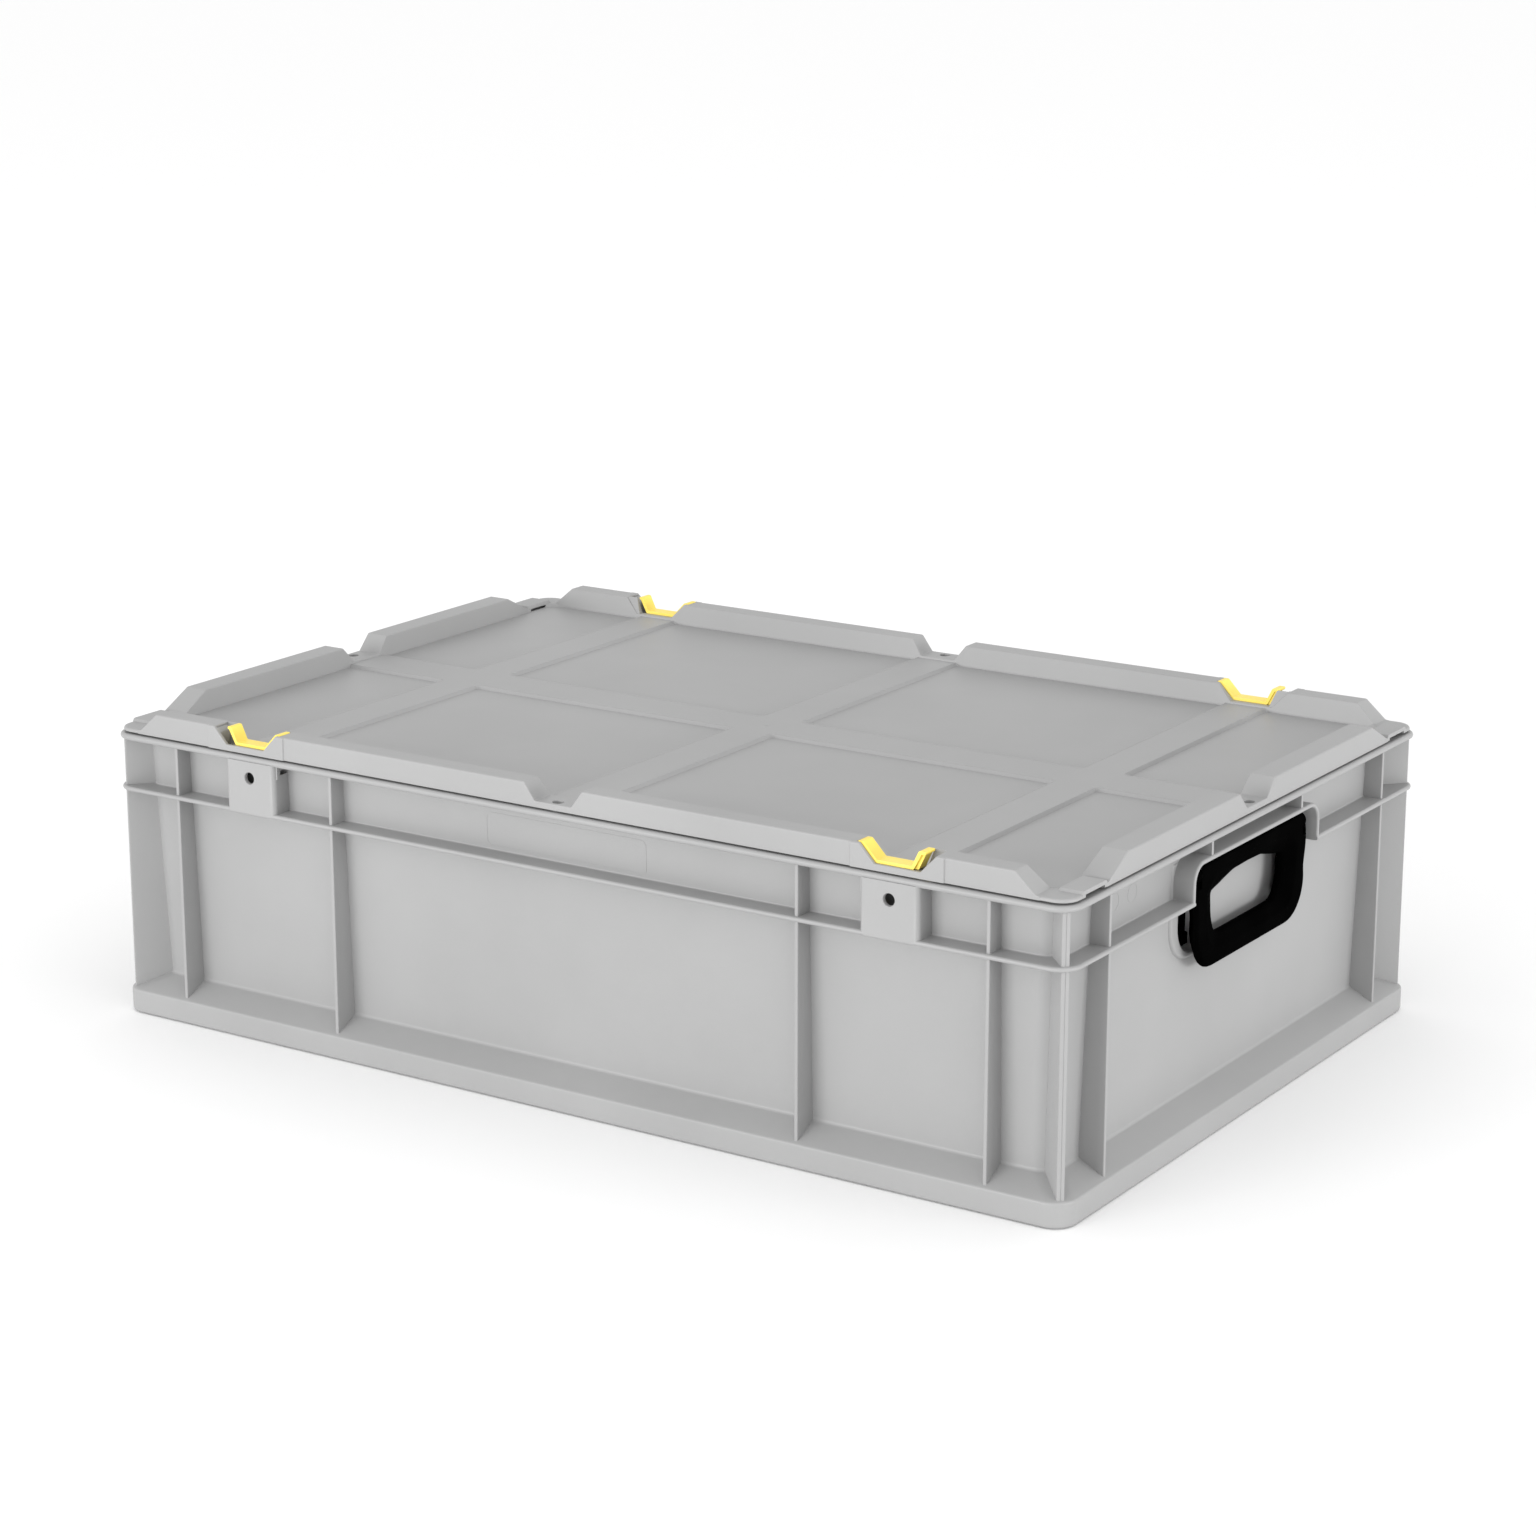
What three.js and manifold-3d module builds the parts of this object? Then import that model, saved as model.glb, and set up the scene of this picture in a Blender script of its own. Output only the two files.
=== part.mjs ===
// Stacking toolbox, 600 x 400 mm: a ribbed box, a hinged lid held by four sliding latches, two folding
// grips, and a divided half-length tray that slides on rails below the lid.
// Millimetres, +Z up. X runs along the long side, Y across, and the origin is under the middle of the base.

import * as THREE from "three";
import { mergeVertices } from "three/addons/utils/BufferGeometryUtils.js";
import Module from "manifold-3d";

// ---------------------------------------------------------------- driving dimensions

const HALF_LENGTH = 300;
const HALF_WIDTH = 200;
const CORNER_RADIUS = 12;
const LEAST_RADIUS = 12;
const GAP = 0.3; // play between two pieces that touch
const OVERLAP = 1; // how far joined shapes run into each other, and cutters past a face

// box
const WALL = 2.5;
const BAND = { top: 13.5, chamfer: 1.5, channelTop: 11 }; // upright band round the base, open from below
const SHELF = { start: 1.2, top: 21.5 }; // sloping shelf from the band to the wall
const INSET_LOW = 16; // how far the wall stands in at the shelf
const INSET_HIGH = 11.8; // and under the rim
const FLOOR = { under: 3.5, top: 6 };
const MID_FLANGE = { bottom: 128.4, top: 131 };
const RIM = { bottom: 157.4, top: 160.9 };
const RIB = { thickness: 2.3, setBack: 2, longSide: [147, 254.9], shortSide: 156.3 };
const CORNER_RIB = { thickness: 4, reach: 10.2, root: 12 };
const BAND_WEB = { half: 1, bottom: 1, top: 13, x: [-254.9, -147, 0, 147, 254.9], y: [-156.3, 0, 156.3] };
const FLOOR_RIB = { half: 1, bottom: 0.8, top: 5, x: [-147, 0, 147], y: [-65, 65] };
const RAIL = { top: 149, edge: 1.5, height: 3, root: 4, reach: 5.5 }; // ledges along the inside for the tray

// latch bosses on the long sides, each with a cell that the hooks hang in
const BOSS = { inner: 184, outer: 217.7, round: 3, skin: 2 };
const CELL = { bottom: 140, back: 0.3 };
const BOSS_HOLE = { x: 201, z: 149, radius: 3.1 };
const SIDE_SLOT = { back: 190, front: 196, bottom: 151.5, top: 155.5 };

// recess for the grip on each short side, under an arched web
const ARCH = { half: 72.5, top: 150.6, web: 2.3, round: 12, opening: 5 };
const ARCH_RIB = { y: 51.6, half: 1, setBack: 1 };
const LIP = { half: 74.5, bottom: 95, top: 148.8, round: 22, topRound: 2, width: 6, topWidth: 2, proud: 1.3 };
const RECESS_FLOOR = 283.5;

// lid
const LID = { inset: 2, under: 161.5, top: 164, skin: 2.4 };
const PANEL = { depth: 1.2, columns: [[13, 189], [213.5, 286.5]], y: [15, 184.5] };
const RIDGE = { top: 174.5, width: 11, foot: 14, longEnd: 280, shortEnd: 158.6 };
const RUN = { notch: 8.8, longEnd: 11.5, shortEnd: 21.5 }; // how far each kind of ridge end leans in
const NOTCH = { floor: 165.2, width: 14, centre: 11.4, latchInner: 191.8, latchOuter: 218.8, reach: 9 };
const LATCH_FLOOR = 164.6; // the notches that hold latches are a little deeper
const CORNER_PAD = { from: 161.5, to: 184, width: 13, top: 165.5, wall: 1.8, gap: 8, gapTop: 163.3 };
const LID_HOLE = { radius: 3, inset: 7 };
const LOCATING_LIP = { inset: 19, width: 2, bottom: 156.5 };

// hinge line: the top outer edge of the rear rim, which the rear latch hooks turn about
const HINGE = { y: 199.2, z: 161.2 };

// sliding latch, and the hooks below it, whose section is an arc about the edge of the rim
const LATCH = { half: 11.2, sheet: 1.6, front: 196.8, back: 188.8, travel: 4, play: 0.5 };
const LATCH_TOP = 174.9;
const LATCH_INNER = { crease: 10.6, brow: 18.8, heel: 20, tip: 22 }; // x places of its flank and lip towards
const LATCH_OUTER = { crease: 9.6, brow: 13.8, foot: 12.2, heel: 18.6, tip: 20 }; // the middle, and away
const LATCH_CENTRE = NOTCH.latchInner + GAP + LATCH.half;
const HOOK = { inner: 6.5, outer: 9, endDegrees: -75, width: 3.4, teeth: [-7.6, 4.4], gatePlay: 0.4 };
const KEEPER_EDGE = 194.6; // the strip of rim that the hooks reach under ends here

// folding grip
const PIVOT = { x: 292.5, z: 141, radius: 2, shoulder: 1.4 };
const GRIP = { half: 65, bottom: 89.3, top: 146.4, round: 16, front: 297, back: 288.8, chamfer: 2.4 };
const WINDOW = { half: 45, bottom: 103.5, side: 130, top: 135.5, round: 10 };
const EAR = { inner: 58.5, outer: 65.5, radius: 5.4, rootBottom: 135.8, rootTop: 144 };
const MOUNT = { back: 283.8, front: 286.3, foot: 105, bridge: 137.6, head: 146.4 };
const ARM = { inner: 53, outer: 61.5 };
const REST_PAD = { inner: 48, outer: 57.5, height: 8, thickness: 1.6 };
const PIN = { inner: 49, boreInner: 47, boreOuter: 67 };
const SCREW = { y: 57.2, z: 118, wallHole: 1.9, armHole: 1.5, shank: 1.2, length: 5.6 };
const SCREW_HEAD = { radius: 4, height: 2.2, cross: 2, crossHalf: 0.5, crossDepth: 1 };

// tray
const TRAY = { start: -283, end: -3, halfWidth: 184.4, floor: 102, flange: 2.4, wall: 2, draft: 3 };
const TRAY_WALL_INSET = 6;
const FINGER_SLOT = { half: 40, bottom: 128, top: 142, round: 6, reach: 14 };
const DIVIDER = { sheet: 2, top: 146, play: 0.6 };
const GUIDE = { rib: 1.6, reach: 6.5, longTop: 126, crossTop: 142 };
const CROSS_DIVIDERS = [-187, -99];

const LOOKS = {
  shell: { color: 0xb4b6b6, roughness: 0.55, metalness: 0 },
  latch: { color: 0xffd83a, roughness: 0.45, metalness: 0 },
  grip: { color: 0x111112, roughness: 0.6, metalness: 0 },
  steel: { color: 0x9a9ca0, roughness: 0.35, metalness: 1 },
  tray: { color: 0x8d9092, roughness: 0.55, metalness: 0 },
};

// ---------------------------------------------------------------- solids

const wasm = await Module();
wasm.setup();

function solid(geometry) {
  const bare = geometry.clone();
  bare.deleteAttribute("normal");
  bare.deleteAttribute("uv");
  const merged = mergeVertices(bare, 1e-4);
  return new wasm.Manifold(
    new wasm.Mesh({
      numProp: 3,
      vertProperties: new Float32Array(merged.attributes.position.array),
      triVerts: new Uint32Array(merged.index.array),
    }),
  );
}

const join = (...solids) => solids.flat().reduce((sum, next) => sum.add(next));
const cut = (body, ...tools) => tools.flat().reduce((rest, tool) => rest.subtract(tool), body);

function geometryOf(body) {
  const mesh = body.getMesh();
  const geometry = new THREE.BufferGeometry();
  geometry.setAttribute("position", new THREE.BufferAttribute(mesh.vertProperties, 3));
  geometry.setIndex(new THREE.BufferAttribute(mesh.triVerts, 1));
  const faceted = geometry.toNonIndexed();
  faceted.computeVertexNormals();
  return faceted;
}

// A block between two opposite corners, in any order.
function block([x0, y0, z0], [x1, y1, z1]) {
  const size = [x1 - x0, y1 - y0, z1 - z0].map(Math.abs);
  const box = new THREE.BoxGeometry(...size);
  box.translate((x0 + x1) / 2, (y0 + y1) / 2, (z0 + z1) / 2);
  return solid(box);
}

// An outline pushed along an axis. It is drawn in (y, z) for x, (x, z) for y and (x, y) for z.
const AXES = {
  x: new THREE.Matrix4().set(0, 0, 1, 0, 1, 0, 0, 0, 0, 1, 0, 0, 0, 0, 0, 1),
  y: new THREE.Matrix4().set(1, 0, 0, 0, 0, 0, -1, 0, 0, 1, 0, 0, 0, 0, 0, 1),
  z: new THREE.Matrix4(),
};

function prism(axis, outline, from, to, curveSegments = 6) {
  const shape = Array.isArray(outline)
    ? new THREE.Shape(outline.map(([a, b]) => new THREE.Vector2(a, b)))
    : outline;
  const depth = Math.abs(to - from);
  const geometry = new THREE.ExtrudeGeometry(shape, { depth, bevelEnabled: false, curveSegments });
  geometry.translate(0, 0, axis === "y" ? -Math.max(from, to) : Math.min(from, to));
  return solid(geometry.applyMatrix4(AXES[axis]));
}

function roundedRectangle(a0, b0, a1, b1, radius) {
  const shape = new THREE.Shape();
  shape.moveTo(a0 + radius, b0);
  shape.lineTo(a1 - radius, b0);
  shape.absarc(a1 - radius, b0 + radius, radius, -Math.PI / 2, 0);
  shape.lineTo(a1, b1 - radius);
  shape.absarc(a1 - radius, b1 - radius, radius, 0, Math.PI / 2);
  shape.lineTo(a0 + radius, b1);
  shape.absarc(a0 + radius, b1 - radius, radius, Math.PI / 2, Math.PI);
  shape.lineTo(a0, b0 + radius);
  shape.absarc(a0 + radius, b0 + radius, radius, Math.PI, 1.5 * Math.PI);
  return shape;
}

// A rounded-corner slab centred on the origin whose sides stand in by one inset below and another above.
function slab(z0, z1, insetLow, insetHigh = insetLow, halfX = HALF_LENGTH, halfY = HALF_WIDTH) {
  const [x, y] = [halfX - insetLow, halfY - insetLow];
  const outline = roundedRectangle(-x, -y, x, y, Math.max(CORNER_RADIUS - insetLow, LEAST_RADIUS));
  const geometry = new THREE.ExtrudeGeometry(outline, {
    depth: z1 - z0,
    bevelEnabled: false,
    curveSegments: 4,
  });
  const points = geometry.getAttribute("position");
  for (let i = 0; i < points.count; i++) {
    const high = points.getZ(i) > (z1 - z0) / 2;
    points.setX(i, points.getX(i) * (high ? (halfX - insetHigh) / x : 1));
    points.setY(i, points.getY(i) * (high ? (halfY - insetHigh) / y : 1));
  }
  geometry.translate(0, 0, z0);
  return solid(geometry);
}

function rod(axis, [x, y, z], radius, length, segments = 16) {
  const cylinder = new THREE.CylinderGeometry(radius, radius, length, segments);
  if (axis === "x") cylinder.rotateZ(Math.PI / 2);
  if (axis === "z") cylinder.rotateX(Math.PI / 2);
  cylinder.translate(x, y, z);
  return solid(cylinder);
}

const SIGNS = [-1, 1];
const CORNERS = SIGNS.flatMap((sx) => SIGNS.map((sy) => [sx, sy]));

// How far the box wall's outer face stands in from the footprint at a height.
function wallInset(z) {
  const share = (z - SHELF.top) / (RIM.bottom - SHELF.top);
  return INSET_LOW + (INSET_HIGH - INSET_LOW) * share;
}

// ---------------------------------------------------------------- box

function boxBody() {
  const high = wallInset(RIM.top);
  const outer = join(
    slab(0, BAND.chamfer, BAND.chamfer, 0),
    slab(BAND.chamfer, BAND.top, 0),
    slab(BAND.top, SHELF.top, SHELF.start, INSET_LOW),
    slab(SHELF.top, RIM.top, INSET_LOW, high),
    slab(MID_FLANGE.bottom, MID_FLANGE.top, 0),
    slab(RIM.bottom, RIM.top, 0),
    uprightRibs(),
    cornerRibs(),
    CORNERS.map(([sx, sy]) => boss(sx, sy)),
  );
  const inside = slab(FLOOR.top, RIM.top + OVERLAP, INSET_LOW + WALL, high + WALL);
  const hollow = cut(outer, inside, undersideHollow(), CORNERS.map(([sx, sy]) => bossPocket(sx, sy)));
  return cut(join(hollow, SIGNS.map(gripSurround), rails()), SIGNS.map(gripRecess));
}

function uprightRibs() {
  const [z0, z1] = [BAND.top - OVERLAP, RIM.bottom + OVERLAP / 2];
  const root = INSET_LOW + OVERLAP;
  const half = RIB.thickness / 2;
  const ribs = [];
  for (const [sx, sy] of CORNERS) {
    const [y0, y1] = [sy * (HALF_WIDTH - RIB.setBack), sy * (HALF_WIDTH - root)];
    for (const x of RIB.longSide) ribs.push(block([sx * x - half, y0, z0], [sx * x + half, y1, z1]));
    const [x0, x1] = [sx * (HALF_LENGTH - RIB.setBack), sx * (HALF_LENGTH - root)];
    const y = sy * RIB.shortSide;
    ribs.push(block([x0, y - half, z0], [x1, y + half, z1]));
  }
  return ribs;
}

function cornerRibs() {
  const { thickness, reach, root } = CORNER_RIB;
  return CORNERS.map(([sx, sy]) => {
    const rib = new THREE.BoxGeometry(reach + root, thickness, RIM.bottom - BAND.top + 2 * OVERLAP);
    rib.translate((reach - root) / 2, 0, (RIM.bottom + BAND.top) / 2);
    rib.rotateZ(Math.atan2(sy, sx));
    rib.translate(sx * (HALF_LENGTH - CORNER_RADIUS), sy * (HALF_WIDTH - CORNER_RADIUS), 0);
    return solid(rib);
  });
}

// The square boss that each latch hooks into, its two outer upright edges rounded.
function boss(sx, sy) {
  const { inner, outer, round } = BOSS;
  const [face, root] = [HALF_WIDTH, HALF_WIDTH - INSET_HIGH - OVERLAP];
  const shape = new THREE.Shape();
  shape.moveTo(inner, root);
  shape.lineTo(outer, root);
  shape.lineTo(outer, face - round);
  shape.absarc(outer - round, face - round, round, 0, Math.PI / 2);
  shape.lineTo(inner + round, face);
  shape.absarc(inner + round, face - round, round, Math.PI / 2, Math.PI);
  const points = shape.getPoints(3).map((p) => [sx * p.x, sy * p.y]);
  return prism("z", points, MID_FLANGE.bottom, RIM.bottom + OVERLAP / 2);
}

// The room inside a boss: a cell below the rim, a mouth through it that leaves a keeper strip standing
// between the teeth, the round hole in the face, and the slot that shows beside the boss.
function bossPocket(sx, sy) {
  const { inner, outer, skin } = BOSS;
  const [x0, x1] = [inner + skin, outer - skin];
  const [back, front] = [HALF_WIDTH - INSET_HIGH + CELL.back, HALF_WIDTH - skin];
  const [low, high] = [RIM.bottom - OVERLAP, RIM.top + OVERLAP];
  const cell = block([sx * x0, sy * back, CELL.bottom], [sx * x1, sy * front, RIM.bottom]);
  const mouth = block([sx * x0, sy * back, low], [sx * x1, sy * KEEPER_EDGE, high]);
  const gates = HOOK.teeth.map((tooth) => {
    const start = LATCH_CENTRE + tooth + LATCH.travel - HOOK.gatePlay;
    const end = start + HOOK.width + 2 * HOOK.gatePlay;
    return block([sx * start, sy * back, low], [sx * end, sy * front, high]);
  });
  const hole = rod("y", [sx * BOSS_HOLE.x, sy * HALF_WIDTH, BOSS_HOLE.z], BOSS_HOLE.radius, 10, 14);
  const slot = block(
    [sx * (inner - OVERLAP), sy * SIDE_SLOT.back, SIDE_SLOT.bottom],
    [sx * (x0 + OVERLAP), sy * SIDE_SLOT.front, SIDE_SLOT.top],
  );
  return join(cell, mouth, gates, hole, slot);
}

// The band round the base is open from below, crossed by webs, and the floor stands on a grid of ribs.
function undersideHollow() {
  const ring = slab(-OVERLAP, BAND.channelTop, WALL);
  const middle = slab(-2 * OVERLAP, BAND.channelTop + OVERLAP, INSET_LOW - WALL);
  const channel = cut(ring, middle, crossWalls(BAND_WEB));
  const field = cut(slab(-OVERLAP, FLOOR.under, INSET_LOW), crossWalls(FLOOR_RIB));
  return join(channel, field);
}

function crossWalls({ half, bottom, top, x: places, y: rows }) {
  return [
    ...places.map((x) => block([x - half, -HALF_WIDTH, bottom], [x + half, HALF_WIDTH, top])),
    ...rows.map((y) => block([-HALF_LENGTH, y - half, bottom], [HALF_LENGTH, y + half, top])),
  ];
}

function rails() {
  const length = HALF_LENGTH - INSET_LOW;
  const low = RAIL.top - RAIL.height;
  const wall = HALF_WIDTH - wallInset(low);
  const outer = wall - OVERLAP;
  const inner = wall - WALL - RAIL.reach;
  return SIGNS.map((sy) => {
    const outline = [
      [sy * outer, RAIL.top],
      [sy * inner, RAIL.top],
      [sy * inner, RAIL.top - RAIL.edge],
      [sy * outer, low - RAIL.root],
    ];
    return prism("x", outline, -length, length);
  });
}

// Outline of the arched web over a grip, in (y, z), or of the room under it, which reaches further down.
function archOutline(inset, drop = 0) {
  const half = ARCH.half - inset;
  const top = ARCH.top - inset;
  const round = ARCH.round - inset;
  const shape = new THREE.Shape();
  shape.moveTo(-half, MID_FLANGE.bottom - drop);
  shape.lineTo(half, MID_FLANGE.bottom - drop);
  shape.lineTo(half, top - round);
  shape.absarc(half - round, top - round, round, 0, Math.PI / 2);
  shape.lineTo(-half + round, top);
  shape.absarc(-half + round, top - round, round, Math.PI / 2, Math.PI);
  return shape;
}

// Outline of the lip round the recess, in (y, z): well rounded below, nearly square under the arch.
function lipOutline(inset, topInset) {
  const half = LIP.half - inset;
  const [bottom, top] = [LIP.bottom + inset, LIP.top - topInset];
  const [round, small] = [LIP.round - inset, LIP.topRound];
  const shape = new THREE.Shape();
  shape.moveTo(-half + round, bottom);
  shape.absarc(half - round, bottom + round, round, -Math.PI / 2, 0);
  shape.lineTo(half, top - small);
  shape.lineTo(half - small, top);
  shape.lineTo(-half + small, top);
  shape.lineTo(-half, top - small);
  shape.absarc(-half + round, bottom + round, round, Math.PI, 1.5 * Math.PI);
  return shape;
}

// The lip and the thickened wall behind it, up to the lip's face.
function lipBlock(sx) {
  const middle = (LIP.bottom + LIP.top) / 2;
  const face = HALF_LENGTH - wallInset(middle) + LIP.proud;
  return prism("x", lipOutline(0, 0), sx * (RECESS_FLOOR - WALL), sx * face);
}

// Solid material round a grip on one short side: the arch, its two short ribs, and the lip.
function gripSurround(sx) {
  const root = sx * (HALF_LENGTH - INSET_LOW);
  const arch = prism("x", archOutline(0), root, sx * HALF_LENGTH);
  const ribs = SIGNS.map((sy) => {
    const [y0, y1] = [sy * ARCH_RIB.y - ARCH_RIB.half, sy * ARCH_RIB.y + ARCH_RIB.half];
    const face = sx * (HALF_LENGTH - ARCH_RIB.setBack);
    return block([root, y0, ARCH.top - OVERLAP], [face, y1, RIM.bottom + OVERLAP / 2]);
  });
  return join(arch, ribs, lipBlock(sx));
}

// What is taken away there: the room under the arch, the recess inside the lip and the screw holes.
function gripRecess(sx) {
  const wallFace = HALF_LENGTH - wallInset(PIVOT.z);
  const under = prism("x", archOutline(ARCH.web, ARCH.opening), sx * wallFace, sx * (HALF_LENGTH + OVERLAP));
  const recess = prism("x", lipOutline(LIP.width, LIP.topWidth), sx * RECESS_FLOOR, sx * HALF_LENGTH);
  const holes = SIGNS.map((sy) =>
    rod("x", [sx * RECESS_FLOOR, sy * SCREW.y, SCREW.z], SCREW.wallHole, 4 * WALL),
  );
  return join(cut(under, lipBlock(sx)), recess, holes);
}

// ---------------------------------------------------------------- lid

function lid() {
  const plate = cut(slab(LID.under, LID.top, LID.inset), panels());
  const body = join(plate, ridges(), notchFloors(), cornerPads(), locatingLip());
  return cut(body, ridges(LID.skin), lidHoles(), latchSlots(), latchRooms(), cornerGaps());
}

// Eight shallow panels between the flat bands of the plate.
function panels() {
  const [y0, y1] = PANEL.y;
  return CORNERS.flatMap(([sx, sy]) =>
    PANEL.columns.map(([x0, x1]) =>
      block([sx * x0, sy * y0, LID.top - PANEL.depth], [sx * x1, sy * y1, LID.top + OVERLAP]),
    ),
  );
}

// A raised ridge along one edge of the lid: a trapezium seen from the side, with a leaning inner face. It
// stands on the plate from one place to another, and leans in by a run at each end. Given a skin, it is
// the hollow that lies that far inside the ridge and opens below.
function ridge(axis, side, [from, to, runFrom, runTo], skin) {
  const edge = (axis === "x" ? HALF_WIDTH : HALF_LENGTH) - LID.inset;
  const [low, high] = [LID.under - skin, RIDGE.top - skin];
  const rise = RIDGE.top - LID.top;
  const leanIn = (run, z) => (run / rise) * (z - LID.top) + skin * Math.hypot(1, run / rise);
  const depth = (z) => RIDGE.foot - ((RIDGE.foot - RIDGE.width) / rise) * (z - LID.top) - skin;
  const profile = [
    [from + leanIn(runFrom, low), low],
    [to - leanIn(runTo, low), low],
    [to - leanIn(runTo, high), high],
    [from + leanIn(runFrom, high), high],
  ];
  const section = [
    [side * (edge - skin), low],
    [side * (edge - depth(low)), low],
    [side * (edge - depth(high)), high],
    [side * (edge - skin), high],
  ];
  const [outside, inside] = [side * (edge + OVERLAP), side * (edge - 2 * RIDGE.foot)];
  const across = prism(axis === "x" ? "y" : "x", profile, outside, inside);
  return across.intersect(prism(axis, section, from - RIDGE.foot, to + RIDGE.foot));
}

// The stretches of ridge right of the middle, as [from, to, run at from, run at to].
function longSideStretches() {
  const foot = (RUN.notch * (NOTCH.floor - LID.top)) / (RIDGE.top - NOTCH.floor);
  const run = RUN.notch + foot;
  return [
    [NOTCH.centre - foot, NOTCH.latchInner + foot, run, run],
    [NOTCH.latchOuter - foot, RIDGE.longEnd, run, RUN.longEnd],
  ];
}

function ridges(skin = 0) {
  const shortSide = [NOTCH.centre - OVERLAP, RIDGE.shortEnd, RUN.notch, RUN.shortEnd];
  const mirrored = ([from, to, runFrom, runTo]) => [-to, -from, runTo, runFrom];
  return SIGNS.flatMap((side) => [
    ...longSideStretches().flatMap((stretch) => [
      ridge("x", side, stretch, skin),
      ridge("x", side, mirrored(stretch), skin),
    ]),
    ridge("y", side, shortSide, skin),
    ridge("y", side, mirrored(shortSide), skin),
  ]);
}

// The floors of the notches between ridges stand a little above the plate.
function notchFloors() {
  const [ex, ey] = [HALF_LENGTH - LID.inset, HALF_WIDTH - LID.inset];
  const middle = NOTCH.centre + NOTCH.reach;
  const [inner, outer] = [NOTCH.latchInner - NOTCH.reach, NOTCH.latchOuter + NOTCH.reach];
  const spans = [
    [-middle, middle, NOTCH.floor],
    [inner, outer, LATCH_FLOOR],
    [-outer, -inner, LATCH_FLOOR],
  ];
  return SIGNS.flatMap((side) => [
    ...spans.map(([x0, x1, floor]) =>
      block([x0, side * ey, LID.under], [x1, side * (ey - NOTCH.width), floor]),
    ),
    block([side * ex, -middle, LID.under], [side * (ex - NOTCH.width), middle, NOTCH.floor]),
  ]);
}

// Raised pads near the ends of the short edges, open underneath on the outside.
function cornerPads() {
  const { from, to, width, top } = CORNER_PAD;
  const edge = HALF_LENGTH - LID.inset;
  const inner = edge - width;
  return CORNERS.map(([sx, sy]) => block([sx * edge, sy * from, LID.under], [sx * inner, sy * to, top]));
}

function cornerGaps() {
  const { from, to, wall, gap, gapTop } = CORNER_PAD;
  const edge = HALF_LENGTH - LID.inset;
  return CORNERS.map(([sx, sy]) =>
    block(
      [sx * (edge + OVERLAP), sy * (from + wall), LID.under - OVERLAP],
      [sx * (edge - gap), sy * (to - wall), gapTop],
    ),
  );
}

function locatingLip() {
  const { inset, width, bottom } = LOCATING_LIP;
  const outside = slab(bottom, LID.under + OVERLAP / 2, inset);
  return cut(outside, slab(bottom - OVERLAP, LID.under + OVERLAP, inset + width));
}

function lidHoles() {
  const z = (LID.under + NOTCH.floor) / 2;
  const [x, y] = [HALF_LENGTH - LID_HOLE.inset, HALF_WIDTH - LID_HOLE.inset];
  const places = SIGNS.flatMap((side) => [
    [0, side * y, z],
    [side * x, 0, z],
  ]);
  return places.map((place) => rod("z", place, LID_HOLE.radius, 10));
}

// Slots in the notch floors that the hooks pass through and slide along.
function latchSlots() {
  const { play, travel } = LATCH;
  const first = LATCH_CENTRE + HOOK.teeth[0] - play;
  const last = LATCH_CENTRE + HOOK.teeth[1] + HOOK.width + travel + play;
  const [y0, y1] = [HINGE.y - HOOK.outer - play, HINGE.y - HOOK.inner + play];
  return CORNERS.map(([sx, sy]) =>
    block([sx * first, sy * y0, LID.under - OVERLAP], [sx * last, sy * y1, LATCH_FLOOR + OVERLAP]),
  );
}

// What each latch sweeps as it slides, taken out of the ridges between a front and a back wall.
function latchRooms() {
  const { front, back, travel, half } = LATCH;
  const low = LATCH_FLOOR;
  const high = LATCH_TOP - LATCH.sheet - GAP;
  const sky = RIDGE.top + OVERLAP;
  const away = travel + LATCH.play;
  const room = [
    [-half - GAP, low],
    [LATCH_OUTER.foot + away, low],
    [LATCH_OUTER.heel + away, high],
    [LATCH_OUTER.tip + away, high],
    [LATCH_OUTER.tip + away, sky],
    [-LATCH_INNER.tip - GAP, sky],
    [-LATCH_INNER.tip - GAP, high],
    [-LATCH_INNER.heel - GAP, high],
  ];
  return CORNERS.map(([sx, sy]) => {
    const outline = room.map(([x, z]) => [sx * (LATCH_CENTRE + x), z]);
    return prism("y", outline, sy * (front + GAP), sy * (back - GAP));
  });
}

// ---------------------------------------------------------------- latches

// A channel that lies in its notch with a lip at each end, level with the ridge tops, and two hooks below
// it. Its outer side is thicker and stands clear of the ridge that it slides into.
function latch(sx, sy) {
  const { half, sheet, front, back } = LATCH;
  const [low, lipUnder] = [LATCH_FLOOR + GAP, LATCH_TOP - sheet];
  const outline = [
    [-half, low],
    [LATCH_OUTER.foot, low],
    [LATCH_OUTER.heel, lipUnder],
    [LATCH_OUTER.tip, lipUnder],
    [LATCH_OUTER.tip, LATCH_TOP],
    [LATCH_OUTER.brow, LATCH_TOP],
    [LATCH_OUTER.crease, low + sheet],
    [-LATCH_INNER.crease, low + sheet],
    [-LATCH_INNER.brow, LATCH_TOP],
    [-LATCH_INNER.tip, LATCH_TOP],
    [-LATCH_INNER.tip, lipUnder],
    [-LATCH_INNER.heel, lipUnder],
  ];
  const placed = outline.map(([x, z]) => [sx * (LATCH_CENTRE + x), z]);
  const channel = prism("y", placed, sy * front, sy * back);
  return join(channel, HOOK.teeth.map((tooth) => hook(sx, sy, tooth)));
}

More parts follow.
